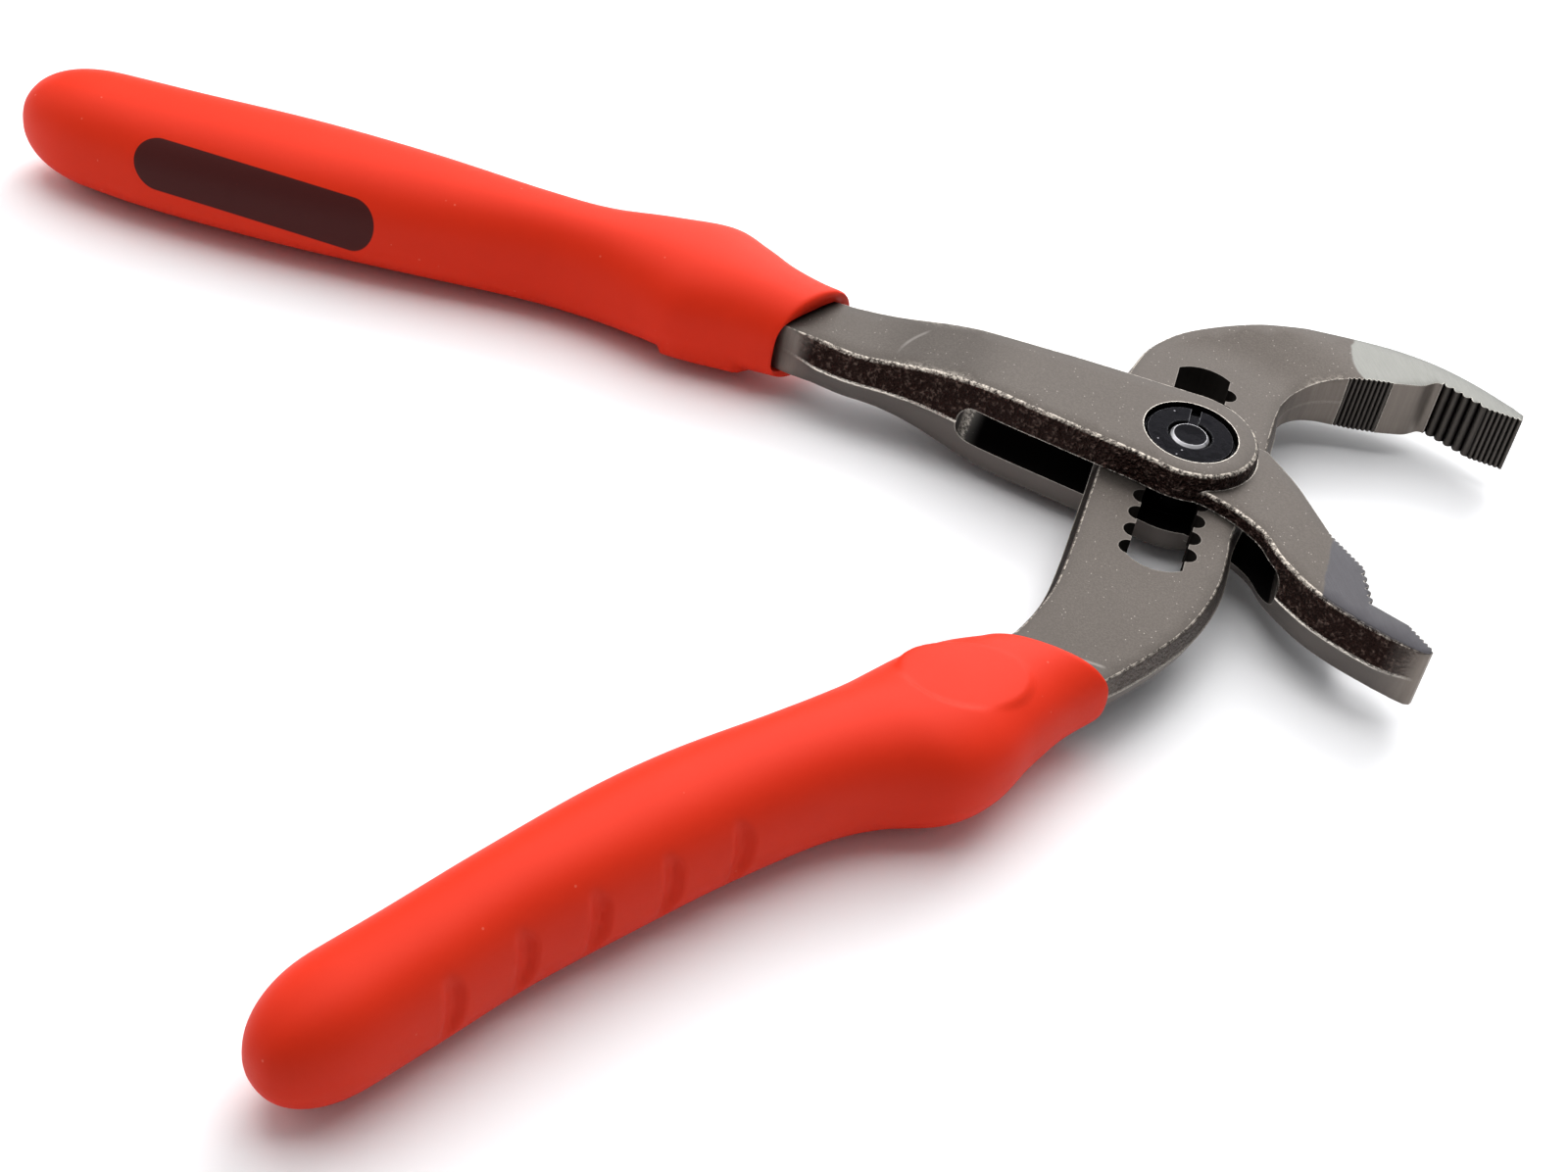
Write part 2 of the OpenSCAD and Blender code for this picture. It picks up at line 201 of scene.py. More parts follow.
# %% World
FRONT_LEVEL, BACK_LEVEL = 0.15, 0.42
world = bpy.data.worlds.new("studio")
bpy.context.scene.world = world
world.use_nodes = True
room = world.node_tree
background = room.nodes["Background"]
depth = node(room, "SeparateXYZ", {0: node(room, "TexCoord").outputs["Generated"]}).outputs["Y"]
limits = {"Value": depth, "From Min": -0.9, "From Max": 0.5, "To Min": FRONT_LEVEL, "To Max": BACK_LEVEL}
feed(room, background.inputs["Strength"], node(room, "MapRange", limits).outputs[0])
feed(room, background.inputs["Color"], (0.97, 0.98, 1.0, 1))
print("world from", FRONT_LEVEL, "in front to", BACK_LEVEL, "behind")

# %% [markdown]
# ## Outlines
# Each lever is forged in two halves, so its flanks lean back from a parting line at mid-thickness, while
# the toothed edges are cut square afterwards. One closed outline with two weights for each point holds all
# of that: the first is 1 on a forged flank and 0 on a machined one, the second is 1 along the teeth. A
# smooth curve through a few measured points is easier to correct than a long list of small steps.

# %% Curves
def curve(points, steps=8):
    """A Catmull-Rom curve: half of 2b + (c-a)u + (2a-5b+4c-d)u^2 + (3b-3c+d-a)u^3 between each b and c."""
    p = np.asarray(points, float)
    a, b, c, d = (q[:, None] for q in (np.vstack([p[:1], p[:-2]]), p[:-1], p[1:], np.vstack([p[2:], p[-1:]])))
    u = (np.arange(steps) / steps)[None, :, None]
    run = 0.5 * (2 * b + (c - a) * u + (2 * a - 5 * b + 4 * c - d) * u**2 + (3 * b - 3 * c + d - a) * u**3)
    return np.vstack([run.reshape(-1, p.shape[1]), p[-1:]])


def arc(radius, start, end, count):
    """Points on a circle about the pivot, from one angle to another, in degrees."""
    angle = np.radians(np.linspace(start, end, count))
    return radius * np.stack([np.cos(angle), np.sin(angle)], 1)


CREST_WEIGHT = 0.45


def teeth(start, end, count, depth, steps=6):
    """A row of round-topped teeth: the cut below the line is depth * (1 - sin(pi u)^0.7) over each tooth.
    They are not forged, and the toothed weight is 1 in the roots and CREST_WEIGHT on the crests."""
    start, end = np.asarray(start, float), np.asarray(end, float)
    share = np.arange(count * steps)[:, None] / (count * steps)
    along = end - start
    inward = np.array([-along[1], along[0]]) / np.hypot(*along)
    cut = 1 - np.abs(np.sin(np.pi * share * count)) ** 0.7
    toothed = CREST_WEIGHT + (1 - CREST_WEIGHT) * cut
    return np.hstack([start + along * share + inward * depth * cut, 0 * cut, toothed])


def marked(points, forged):
    """Points of an outline with their forged weight. They aren't toothed."""
    points = np.atleast_2d(points)
    return np.column_stack([points, np.full(len(points), forged), np.zeros(len(points))])


def refined(outline, step):
    """The closed outline with every side split into equal parts no longer than a step."""
    after = np.roll(outline, -1, 0)
    parts = np.maximum(1, np.ceil(np.hypot(*(after - outline)[:, :2].T) / step)).astype(int)
    first = np.repeat(np.cumsum(parts) - parts, parts)
    share = ((np.arange(parts.sum()) - first) / np.repeat(parts, parts))[:, None]
    return np.repeat(outline, parts, 0) * (1 - share) + np.repeat(after, parts, 0) * share


def softened(values, reach):
    """A running mean round the closed outline, so that a weight fades over a few points."""
    kernel = np.ones(2 * reach + 1) / (2 * reach + 1)
    return np.convolve(np.concatenate([values[-reach:], values, values[:reach]]), kernel, "valid")


# %% [markdown]
# The outer lever is drawn as two outlines: the bar with the round boss and the shank, and the lower jaw
# that grows out of it. The inner lever is one outline. They are the outlines of the CAD model with more
# detail.

# %% Outline of the outer lever
MOUTH_OUTER = np.array([-61.0, 6.0])
OUTER_HANDLE = 136.5
SHARE_OF_TANG = 0.7
TANG_END = MOUTH_OUTER[0] - OUTER_HANDLE * SHARE_OF_TANG
OUTLINE_STEP = 0.8
FINE_TOOTH, COARSE_TOOTH = 0.4, 0.75
outer_bar = refined(np.vstack([
    marked(arc(BOSS_R, -98, 90, 60), 1),
    marked(curve([(-11, BOSS_R + 0.2), (-20, 11.1), (-30, 11), (-37, 12), (-43, 12.4), (-50, 12),
                  (-57, 11.2)]), 1),
    marked(curve([(-60, 11), (-66, 10.8)]), 0.2),
    marked([(-67, 9.6), (TANG_END, 9.6), (TANG_END, 2.5), (-67, 1.2), (-66, 0.6)], 0),
    marked([(-63, -0.1)], 0.1),
    marked(curve([(-60, -0.6), (-54, -1.7), (-47, -1.6), (-40, -2.3), (-29, -5), (-18, -7.2),
                  (-7.5, -9.2)]), 1)]), OUTLINE_STEP)

HEEL, STEP, VEE, TOE, TIP = (24, -11.1), (30.1, -17), (32.3, -24.6), (37.9, -27.2), (41.8, -31)
lower_jaw = refined(np.vstack([
    marked([(-3, -7)], 0),
    marked(curve([(0, -10), (1.5, -10.4), (5.7, -11.2), (10.3, -13.2), (14.5, -16.3), (17.2, -20.2),
                  (21, -24), (25, -27), (30, -29.5), (35.5, -31.5)]), 1),
    marked([(38.5, -32.2)], 0.5),
    marked([(40.6, -32.5), (41.5, -32.2), (TIP[0], TIP[1] - 0.6)], 0),
    teeth(TIP, TOE, 6, FINE_TOOTH),
    marked([TOE], 0),
    teeth(VEE, STEP, 5, COARSE_TOOTH),
    teeth(STEP, HEEL, 9, FINE_TOOTH),
    marked(curve([HEEL, (20.4, -5.6), (17.4, -1.3), (12.4, 4.3)]), 0),
    marked([(9, 5), (-3, 5)], 0)]), OUTLINE_STEP)
print("outer lever outlines:", len(outer_bar), "and", len(lower_jaw), "points")

# %% Outline of the inner lever
MOUTH_INNER = np.array([-10.5, -58.8])
INNER_HANDLE = 127.0
TURN_INNER = math.radians(237.2)
ALONG_INNER = np.array([math.cos(TURN_INNER), math.sin(TURN_INNER)])
ASIDE_INNER = np.array([-ALONG_INNER[1], ALONG_INNER[0]])


def beside(along, aside):
    """A point beside the inner handle: along it from the mouth, and aside towards its outer side."""
    return MOUTH_INNER + along * ALONG_INNER + aside * ASIDE_INNER


tang = INNER_HANDLE * SHARE_OF_TANG
PATCH_HEEL, PATCH_TOE = (22.7, 31.2), (29.8, 33.1)
UPPER_VEE, UPPER_STEP, UPPER_TIP = (37.7, 37), (45.4, 33.7), (51.4, 33.3)
inner_outline = refined(np.vstack([
    marked(curve([(13, 20.6), (14.3, 24.3), (16.7, 27.6), (19.5, 29.8), PATCH_HEEL]), 0.1),
    teeth(PATCH_HEEL, PATCH_TOE, 9, FINE_TOOTH),
    marked(curve([PATCH_TOE, (32, 33.9), (34.6, 35), (36.6, 36.9), UPPER_VEE], 4), 0),
    teeth(UPPER_VEE, UPPER_STEP, 5, COARSE_TOOTH),
    teeth(UPPER_STEP, UPPER_TIP, 7, FINE_TOOTH),
    marked([(51.4, 35)], 0),
    marked(curve([(49.6, 36.4), (43, 39.9), (36, 42.3), (29, 43.1), (22, 42.7), (14, 41.7)]), 0.3),
    marked(curve([(12, 41.2), (6, 39.4), (-0.6, 36), (-5.8, 32), (-9.4, 26.8), (-11.2, 21), (-12, 14),
                  (-12, 2), (-12, -10), (-12.2, -21), (-12.4, -31), (-13, -40), (-14.6, -47),
                  (-16.2, -52)]), 0.55),
    marked([beside(4, -8), beside(tang, -10.5), beside(tang, -4.5), beside(32, -2.5),
            beside(4, 5.6)], 0),
    marked(curve([(-0.4, -54), (3.4, -47.7), (6.6, -41.5), (8.8, -35), (10.1, -28), (10.3, -21),
                  (10.2, -16), (11.4, -6), (12.2, 4), (12.5, 12), (12.7, 17)]), 0.55)]), OUTLINE_STEP)
print("inner lever outline:", len(inner_outline), "points")


# %% [markdown]
# ## Forging the levers
# A forging could be an extruded curve with a Bevel modifier, but its flanks lean by different amounts and
# its thickness changes along its length. So it is made as a stack of rings: each ring is the outline moved
# in or out along its own normals, at its own share of the local thickness. The two faces are filled with
# triangles over a lattice of inner points, so that a face can slope.

# %% Rings and faces
def normals_of(outline):
    """Outward unit normals of an anticlockwise outline, from the mean of the two sides at each point."""
    side = np.roll(outline[:, :2], -1, 0) - outline[:, :2]
    side /= np.maximum(np.hypot(*side.T), 1e-9)[:, None]
    mean = side + np.roll(side, 1, 0)
    mean /= np.maximum(np.hypot(*mean.T), 1e-9)[:, None]
    return np.stack([mean[:, 1], -mean[:, 0]], 1)


def inside(points, ring):
    """Whether each point lies in a closed ring: a ray towards +X crosses its sides an odd number of times."""
    (x1, y1), (x2, y2) = ring.T, np.roll(ring, -1, 0).T
    x, y = points[:, 0, None], points[:, 1, None]
    spans = (y1 > y) != (y2 > y)
    crossing = x1 + (y - y1) / np.where(y2 == y1, 1, y2 - y1) * (x2 - x1)
    return (spans & (x < crossing)).sum(1) % 2 == 1


def face_fill(ring, spacing):
    """Triangles that fill a ring over a lattice of inner points. Gives the inner points and the triangles."""
    low, high = ring.min(0), ring.max(0)
    grid = np.stack(np.meshgrid(*(np.arange(low[k], high[k], spacing) for k in (0, 1))), -1).reshape(-1, 2)
    grid = grid[inside(grid, ring)]
    near = np.min(np.hypot(*(grid[:, None] - ring[None]).transpose(2, 0, 1)), 1)
    grid = grid[near > 0.6 * spacing]
    points = [Vector(p) for p in np.vstack([ring, grid])]
    made = delaunay_2d_cdt(points, [], [list(range(len(ring)))], 1, 1e-6)
    source = [origin[0] for origin in made[3]]
    return grid, [[source[v] for v in face] for face in made[2]]


# %% Forging
# Rows of the rounded edge: share of the chamfer still to go outwards, share of the draft, share dropped
EDGE_ROWS = [(1.0, 0.0, 0.0), (0.62, 0.0, 0.14), (0.3, 0.0, 0.38), (0.08, 0.0, 0.72), (0.0, 0.05, 1.0)]
FLANK_SHARES = [0.2, 0.4, 0.6, 0.8, 0.97]
CUT_EDGE = 0.1
FLASH = 0.12


def forging(name, outline, height, edge=0.72, spacing=2.0):
    """A forged slab. A ring at share s of the way down to the parting line stands out by DRAFT * s, and the
    ring at the line itself by FLASH more. height(x, y) gives half the local thickness, edge the rounding."""
    forged = softened(outline[:, 2], 3)
    out = normals_of(outline)
    tall = height(outline[:, 0], outline[:, 1])
    chamfer = CUT_EDGE + (edge - CUT_EDGE) * forged
    rows = []
    for left, reached, drop in EDGE_ROWS:
        rows.append((-left * chamfer + DRAFT * reached * forged, tall - drop * chamfer))
    for share in FLANK_SHARES:
        rows.append((DRAFT * share * forged, (tall - chamfer) * (1 - share)))
    rows.append(((DRAFT + FLASH) * forged, 0 * tall))
    upper = np.array([np.column_stack([outline[:, :2] + out * moved[:, None], z]) for moved, z in rows])
    rings = np.concatenate([upper, upper[-2::-1] * (1, 1, -1)])
    count, n = rings.shape[:2]
    index = np.arange(count * n).reshape(count, n)
    following = np.roll(index, -1, 1)
    walls = np.stack([index[:-1], index[1:], following[1:], following[:-1]], -1).reshape(-1, 4)
    grid, fill = face_fill(rings[0, :, :2], spacing)
    top = np.column_stack([grid, height(grid[:, 0], grid[:, 1])])
    inner = count * n
    top_index = np.concatenate([index[0], inner + np.arange(len(grid))])
    low_index = np.concatenate([index[-1], inner + len(grid) + np.arange(len(grid))])
    fill = np.array(fill)
    faces = walls.tolist() + top_index[fill].tolist() + low_index[fill[:, ::-1]].tolist()
    points = np.vstack([rings.reshape(-1, 3), top, top * (1, 1, -1)])
    return link(name, plain_mesh(name, to_frame(points), faces))


# %% Prisms and cuts
def prism(name, outline, depth, axes=(0, 1, 2)):
    """A straight prism: an outline in the first two of the axes, carried to both sides along the last."""
    n = len(outline)
    ends = [np.column_stack([outline, np.full(n, side * depth)]) for side in (-1, 1)]
    points = np.vstack(ends)[:, np.argsort(axes)]
    walls = [(i, (i + 1) % n, n + (i + 1) % n, n + i) for i in range(n)]
    caps = [tuple(range(n))[::-1], tuple(range(n, 2 * n))]
    piece = link(name, plain_mesh(name, to_frame(points), caps + walls))
    solid = bmesh.new()
    solid.from_mesh(piece.data)
    bmesh.ops.recalc_face_normals(solid, faces=solid.faces)
    solid.to_mesh(piece.data)
    solid.free()
    return piece


def carve(piece, tool, operation="DIFFERENCE", keep=False):
    """Join a piece with a tool, or cut the tool out of it, and keep the result as the piece's own mesh."""
    cut = piece.modifiers.new("cut", "BOOLEAN")
    cut.operation, cut.solver, cut.object = operation, "EXACT", tool
    bpy.context.view_layer.update()
    made = bpy.data.meshes.new_from_object(piece.evaluated_get(bpy.context.evaluated_depsgraph_get()))
    piece.modifiers.clear()
    piece.data = made
    made.name = piece.name
    if not keep:
        bpy.data.objects.remove(tool)


def sharpen(piece, degrees):
    """Shade edges sharp where the faces turn by more than an angle."""
    piece.data.set_sharp_from_angle(angle=math.radians(degrees))


def rounded_box(x0, x1, half, corner, steps=10):
    """A rectangle from x0 to x1 and half to each side, its corners rounded by corner[0] and corner[1]."""
    points = []
    for start in (-90, 0, 90, 180):
        r, middle = (corner[1], x1 - corner[1]) if start < 90 else (corner[0], x0 + corner[0])
        angle = np.radians(np.linspace(start, start + 90, steps))
        centre = (middle, (half - r) * (1 if 0 <= start < 180 else -1))
        points.append(np.stack([centre[0] + r * np.cos(angle), centre[1] + r * np.sin(angle)], 1))
    return np.vstack(points)


# %% [markdown]
# The cheeks are flat and keep one thickness to behind the gap, then the bar runs down to the thinner shank.
# The jaw is forged thinner than the cheeks, so the boss stands on it as a round step.

# %% Outer lever
def smooth(value, start, end):
    """0 before start, 1 after end, and 3u^2 - 2u^3 between."""
    u = np.clip((value - start) / (end - start), 0, 1)
    return u * u * (3 - 2 * u)


THINNING = (-53, -28)
GAP_FROM, GAP_TO, GAP_CORNERS = -35.2, 18.6, (2.7, 1.6)
THROUGH = 20

outer_lever = forging("outer_lever_forging", outer_bar,
                      lambda x, y: SHANK_HALF + (BOX_HALF - SHANK_HALF) * smooth(x, *THINNING))
carve(outer_lever, forging("jaw_blank", lower_jaw, lambda x, y: JAW_HALF + 0 * x), "UNION")
gap_outline = rounded_box(GAP_FROM, GAP_TO, GAP_HALF, GAP_CORNERS)
carve(outer_lever, prism("gap", gap_outline, 4 * THROUGH, (0, 2, 1)))
carve(outer_lever, prism("bore", arc(BORE_R, 0, 357, 120), THROUGH))
print("outer lever:", len(outer_lever.data.polygons), "faces")


# %% [markdown]
# The inner lever is thin where it passes through the gap and swells to the full thickness of the jaw. Its
# rack is a slot whose sides are a row of half-round notches. The slot's outline is built from those arcs.

# %% Inner lever
SLOT_HALF, PITCH, NOTCH_R = 4.25, 4.3, 1.6
SLOT_TOP, SLOT_BOTTOM, SLOT_END_R = 24.6, 29.6, 6.375
RACK_SHIFT = 0.7
NOTCH_LEAD = 0.75 * PITCH
RIGHT_NOTCHES = -NOTCH_LEAD + RACK_SHIFT + PITCH * np.arange(-5, 6)
LEFT_NOTCHES = NOTCH_LEAD + RACK_SHIFT + PITCH * np.arange(-7, 3)
REACH_TOP = 2 * PITCH
SWELL = (20, 36)


def notches(heights, side):
    """Half circles of the notch radius, bulging out of one side of the slot."""
    angle = np.radians(np.linspace(-90, 90, 13))
    bulge = np.stack([SLOT_HALF + NOTCH_R * np.cos(angle), NOTCH_R * np.sin(angle)], 1)
    rows = bulge[None] + np.stack([0 * heights, heights], 1)[:, None]
    rows = rows.reshape(-1, 2)
    return rows if side > 0 else (rows * (-1, 1))[::-1]


def slot_end(centre, top):
    """The round end of the slot: the part of a circle that lies between its two sides."""
    half = math.degrees(math.asin(SLOT_HALF / SLOT_END_R))
    angle = np.radians(np.linspace(90 - half, 90 + half, 15))
    cap = SLOT_END_R * np.stack([np.cos(angle), np.sin(angle)], 1)
    return cap + (0, centre) if top else -cap + (0, centre)


slot = np.vstack([notches(RIGHT_NOTCHES, 1), slot_end(SLOT_TOP - SLOT_END_R, True),
                  notches(LEFT_NOTCHES, -1), slot_end(SLOT_END_R - SLOT_BOTTOM, False)])


def inner_height(x, y):
    """Plate in the gap, then a smooth swell to the jaw with the distance from the highest pivot place."""
    away = np.hypot(x, y - REACH_TOP)
    swell = smooth(away, *SWELL) * (y > REACH_TOP)
    return PLATE_HALF + (JAW_HALF - PLATE_HALF) * swell


inner_lever = forging("inner_lever_forging", inner_outline, inner_height, edge=0.6)
carve(inner_lever, prism("slot", slot, THROUGH))
print("inner lever:", len(inner_lever.data.polygons), "faces")

# %% [markdown]
# A colour that depends on how a surface was made has to know it. So each vertex of a lever takes the two
# weights of the nearest point of its outlines, as far as it lies close to them, and stores them as
# attributes that the steel can read.

# %% Weights on the levers
def weigh(piece, *outlines, reach=2.2):
    """Store forged and toothed at each vertex: the nearest outline point's weights, and 0 beyond reach."""
    mesh = piece.data
    places = np.empty(len(mesh.vertices) * 3)
    mesh.vertices.foreach_get("co", places)
    places = ((places.reshape(-1, 3) - PIVOT) * 1000)[:, :2]
    line = np.vstack(outlines)
    nearest, away = np.empty(len(places), int), np.empty(len(places))
    for part in np.array_split(np.arange(len(places)), 12):
        distance = np.hypot(*(places[part, None] - line[None, :, :2]).transpose(2, 0, 1))
        nearest[part] = distance.argmin(1)
        away[part] = distance.min(1)
    for column, name in ((2, "forged"), (3, "toothed")):
        stored = mesh.attributes.new(name, "FLOAT", "POINT")
        stored.data.foreach_set("value", (line[nearest, column] * (away < reach)).astype(np.float32))
    sharpen(piece, SHARP_STEEL)


weigh(outer_lever, outer_bar, lower_jaw)
weigh(inner_lever, inner_outline)
print("weights stored on", len(outer_lever.data.vertices) + len(inner_lever.data.vertices), "vertices")

# %% [markdown]
# ## Grips
# Each grip is moulded plastic with a hooked guard at its mouth, a flat round pad for the thumb and five
# shallow finger marks. A subdivided cage would also do, but here the section is known at thirteen places.
# So a ring of a superellipse is carried along the handle, and the formula of the surface adds the pad and
# the marks.

# %% Stations of the grips
# Share of the length, reach towards the inner side and towards the outer side, share of the half thickness
OUTER_STATIONS = [
    (0.00, 7.9, 8.2, 0.78), (0.03, 7.8, 8.6, 0.82), (0.07, 7.9, 10.2, 0.88), (0.11, 8.4, 13.2, 0.93),
    (0.155, 8.7, 16.1, 0.96), (0.21, 7.2, 13.6, 0.97), (0.28, 5.6, 9.8, 0.96), (0.36, 5.8, 9.3, 0.96),
    (0.50, 8.9, 10.7, 0.98), (0.65, 11.4, 10.4, 1.00), (0.80, 12.6, 8.4, 0.98), (0.90, 12.0, 7.2, 0.95),
    (1.00, 10.4, 5.6, 0.90)]
INNER_STATIONS = [
    (0.00, 10.4, 7.4, 0.78), (0.05, 12.9, 7.5, 0.84), (0.11, 13.6, 8.9, 0.92), (0.165, 13.6, 10.8, 0.96),
    (0.21, 13.5, 10.2, 0.97), (0.26, 13.6, 5.9, 0.96), (0.33, 14.3, 3.0, 0.96), (0.45, 16.1, 1.4, 0.97),
    (0.56, 16.4, 0.8, 0.99), (0.70, 15.2, 0.4, 1.00), (0.82, 14.0, 1.4, 0.98), (0.92, 13.2, 2.2, 0.95),
    (1.00, 12.0, 2.2, 0.90)]
SECTION_POWER = 2.3
TIP_SHARE = 0.105
TIP_POWER = 2.4
PAD_ALONG, PAD_ASIDE, PAD_R, PAD_TOP, PAD_FLATNESS = 14.9, -3.1, 8.0, 8.3, 0.6
MARKS, MARK_TURN, MARK_DEPTH = 58.6 + 11.3 * np.arange(5), math.radians(6), 1.25
# Rings of the lip: share of the way from the shank's section to the first ring, and place along the grip
LIP = [(0.0, 5.0), (0.0, 0.7), (0.12, 0.12), (0.5, 0.0), (0.82, 0.12), (0.95, 0.5)]


# %% Grip surface
def superellipse(angle, centre, half_width, half_height, exponent):
    """Points centre + w * cos^(2/p), h * sin^(2/p) of a rounded section, with the signs kept."""
    c, s = np.cos(angle), np.sin(angle)
    return (centre + half_width * np.sign(c) * np.abs(c) ** (2 / exponent),
            half_height * np.sign(s) * np.abs(s) ** (2 / exponent))


def finger_marks(along, angle):
    """Depth of the marks on the outer flank. Each starts at a nearly straight side towards the tip, where u
    is 0, gets slowly deeper towards the jaws, and ends in a steep crescent, where u is 1."""
    turn = (angle + math.pi) % (2 * math.pi) - math.pi - MARK_TURN
    reach = np.exp(-(turn / 0.45) ** 4)
    u = (MARKS - along[..., None]) / (1.6 + 1.6 * reach[..., None])
    dip = smooth(u, -0.15, 0.3) * (0.5 + 0.5 * np.clip(u, 0, 1)) * (1 - smooth(u, 0.72, 1.1))
    return MARK_DEPTH * dip.sum(-1) * reach


# %% Grip sleeve
def grip(name, stations, length, mouth, turn, flip, pad_side, shank, seat, rows=240, around=128):
    """A closed sleeve: a small ring deep in the mouth, out round the lip, along the handle and over the tip.
    turn is the handle's direction, shank the lever's two edges in the mouth, and seat the mouth's slant."""
    dense = curve(stations, 12)
    tip = 1 - TIP_SHARE * (1 - np.sin(np.linspace(0, math.pi / 2, 26)))[:-1]
    share = np.concatenate([np.linspace(0.008, 1 - TIP_SHARE, rows, endpoint=False), tip])
    inner, outer, thick = (np.interp(share, dense[:, 0], dense[:, k]) for k in (1, 2, 3))
    into = np.clip((share - 1 + TIP_SHARE) / TIP_SHARE, 0, 1)
    shrink = (1 - into**TIP_POWER) ** (1 / TIP_POWER)
    angle = np.arange(around)[None] * 2 * math.pi / around
    y, z = superellipse(angle, ((outer - inner) / 2)[:, None], ((outer + inner) / 2 * shrink)[:, None],
                        (GRIP_HALF * thick * shrink)[:, None], SECTION_POWER)
    x = np.repeat(share[:, None] * length, around, 1)
    depth = finger_marks(x, angle + 0 * x)
    y, z = y - depth * np.cos(angle), z - depth * np.sin(angle)
    pad = 1 - smooth(np.hypot(x - PAD_ALONG, y - PAD_ASIDE), PAD_R - 0.5, PAD_R + 0.5)
    pad = pad * smooth(z * pad_side, 3, 6)
    z = z + (pad_side * PAD_TOP - z) * pad * PAD_FLATNESS
    hole = superellipse(angle[0], (shank[1] + shank[0]) / 2, (shank[1] - shank[0]) / 2, SHANK_HALF + 0.4, 5)
    way, place = np.array(LIP).T[:, :, None]
    x = np.vstack([place + 0 * angle, x])
    y, z = (np.vstack([edge + (rings[0] - edge) * way, rings]) for edge, rings in zip(hole, (y, z)))
    near_mouth = np.clip(1 - 4 * x / length, 0, 1)
    x = x - near_mouth * (seat[0] * y + seat[1])
    side = -1 if flip else 1
    y = y * side
    c, s = math.cos(turn), math.sin(turn)
    rings = np.stack([mouth[0] + x * c - y * s, mouth[1] + x * s + y * c, z], -1)
    end = (outer[-1] - inner[-1]) / 2 * side
    pole = (mouth[0] + length * c - end * s, mouth[1] + length * s + end * c, 0)
    count = len(rings)
    index = np.arange(count * around).reshape(count, around)
    after = np.roll(index, -1, 1)
    walls = np.stack([index[:-1], after[:-1], after[1:], index[1:]], -1).reshape(-1, 4)
    last = np.stack([index[-1], after[-1], np.full(around, count * around)], -1)
    faces = walls.tolist() + last.tolist() + [index[0, ::-1].tolist()]
    if flip:
        faces = [face[::-1] for face in faces]
    return link(name, plain_mesh(name, to_frame(np.vstack([rings.reshape(-1, 3), pole])), faces))


# %% The two grips
OUTER_GRIP_LENGTH, INNER_GRIP_LENGTH = 135.4, 126.0
outer_grip = grip("outer_grip_sleeve", OUTER_STATIONS, OUTER_GRIP_LENGTH, MOUTH_OUTER, math.pi, True, -1,
                  (-7.3, 5.8), (0.56, -1.0))
inner_grip = grip("inner_grip_sleeve", INNER_STATIONS, INNER_GRIP_LENGTH, MOUTH_INNER, TURN_INNER, False, 1,
                  (-9.6, 7.0), (0.6, 1.4))
carve(outer_grip, outer_lever, keep=True)
carve(inner_grip, inner_lever, keep=True)
for sleeve in (outer_grip, inner_grip):
    sharpen(sleeve, SHARP_PLASTIC)
    print(sleeve.name, len(sleeve.data.polygons), "faces")

# %% [markdown]
# ## Pivot
# The pin and the two discs of the barrel are turned parts, so they are profiles spun about the pivot axis.
# Real turned edges are broken by a small chamfer, which is what catches the light on a black part, so every
# corner of the profiles has one.

# %% Turned parts
PIN_R, PIN_CHAMFER, HOLE_R = 3.05, 0.4, 3.5
DISC_IN = GAP_HALF + 0.1
DISC_RIM = DISC_TOP - 0.9


def spin(profile, count=144):
    """A profile of (radius, height) points spun about the pivot axis: the points, their numbers with a row
    for each angle, and the numbers one row on."""
    radius, height = np.asarray(profile, float).T
    angle = np.arange(count)[:, None] * 2 * math.pi / count
    rings = np.stack([radius * np.cos(angle), radius * np.sin(angle), height + 0 * angle], -1)
    index = np.arange(count * len(radius)).reshape(count, -1)
    return rings.reshape(-1, 3), index, np.roll(index, -1, 0)


def turned(name, profile, side):
    """A closed profile, spun. side -1 turns it over."""
    points, index, one = spin(np.array(profile) * (1, side))
    faces = np.stack([index, one, np.roll(one, -1, 1), np.roll(index, -1, 1)], -1).reshape(-1, 4)[:, ::side]
    return link(name, plain_mesh(name, to_frame(points), faces.tolist()))


# %% Discs
DISC_PROFILE = [(HOLE_R, DISC_TOP - 0.12), (HOLE_R, DISC_TOP - 1.2), (3.06, DISC_TOP - 1.25), (3.06, DISC_IN),
                (7.3, DISC_IN), (7.45, DISC_IN + 0.15), (7.45, DISC_RIM - 0.15), (7.3, DISC_RIM),
                (6.95, DISC_RIM), (6.95, DISC_TOP - 0.22), (6.73, DISC_TOP), (HOLE_R + 0.12, DISC_TOP)]
KEYWAY_HALF, KEYWAY_DEPTH, KEYWAY_END = 0.8, 1.3, 9
discs = []
for label, side in (("front_disc_turned", 1), ("rear_disc_turned", -1)):
    disc = turned(label, DISC_PROFILE, side)
    keyway = rounded_box(HOLE_R - 0.3, KEYWAY_END, KEYWAY_HALF, (0.1, 0.1), 2)[::-1, ::-1]
    cutter = prism("keyway", keyway, KEYWAY_DEPTH)
    cutter.data.transform(Matrix.Translation((0, 0, side * DISC_TOP / 1000)))
    carve(disc, cutter)
    sharpen(disc, SHARP_TURNED)
    discs.append(disc)


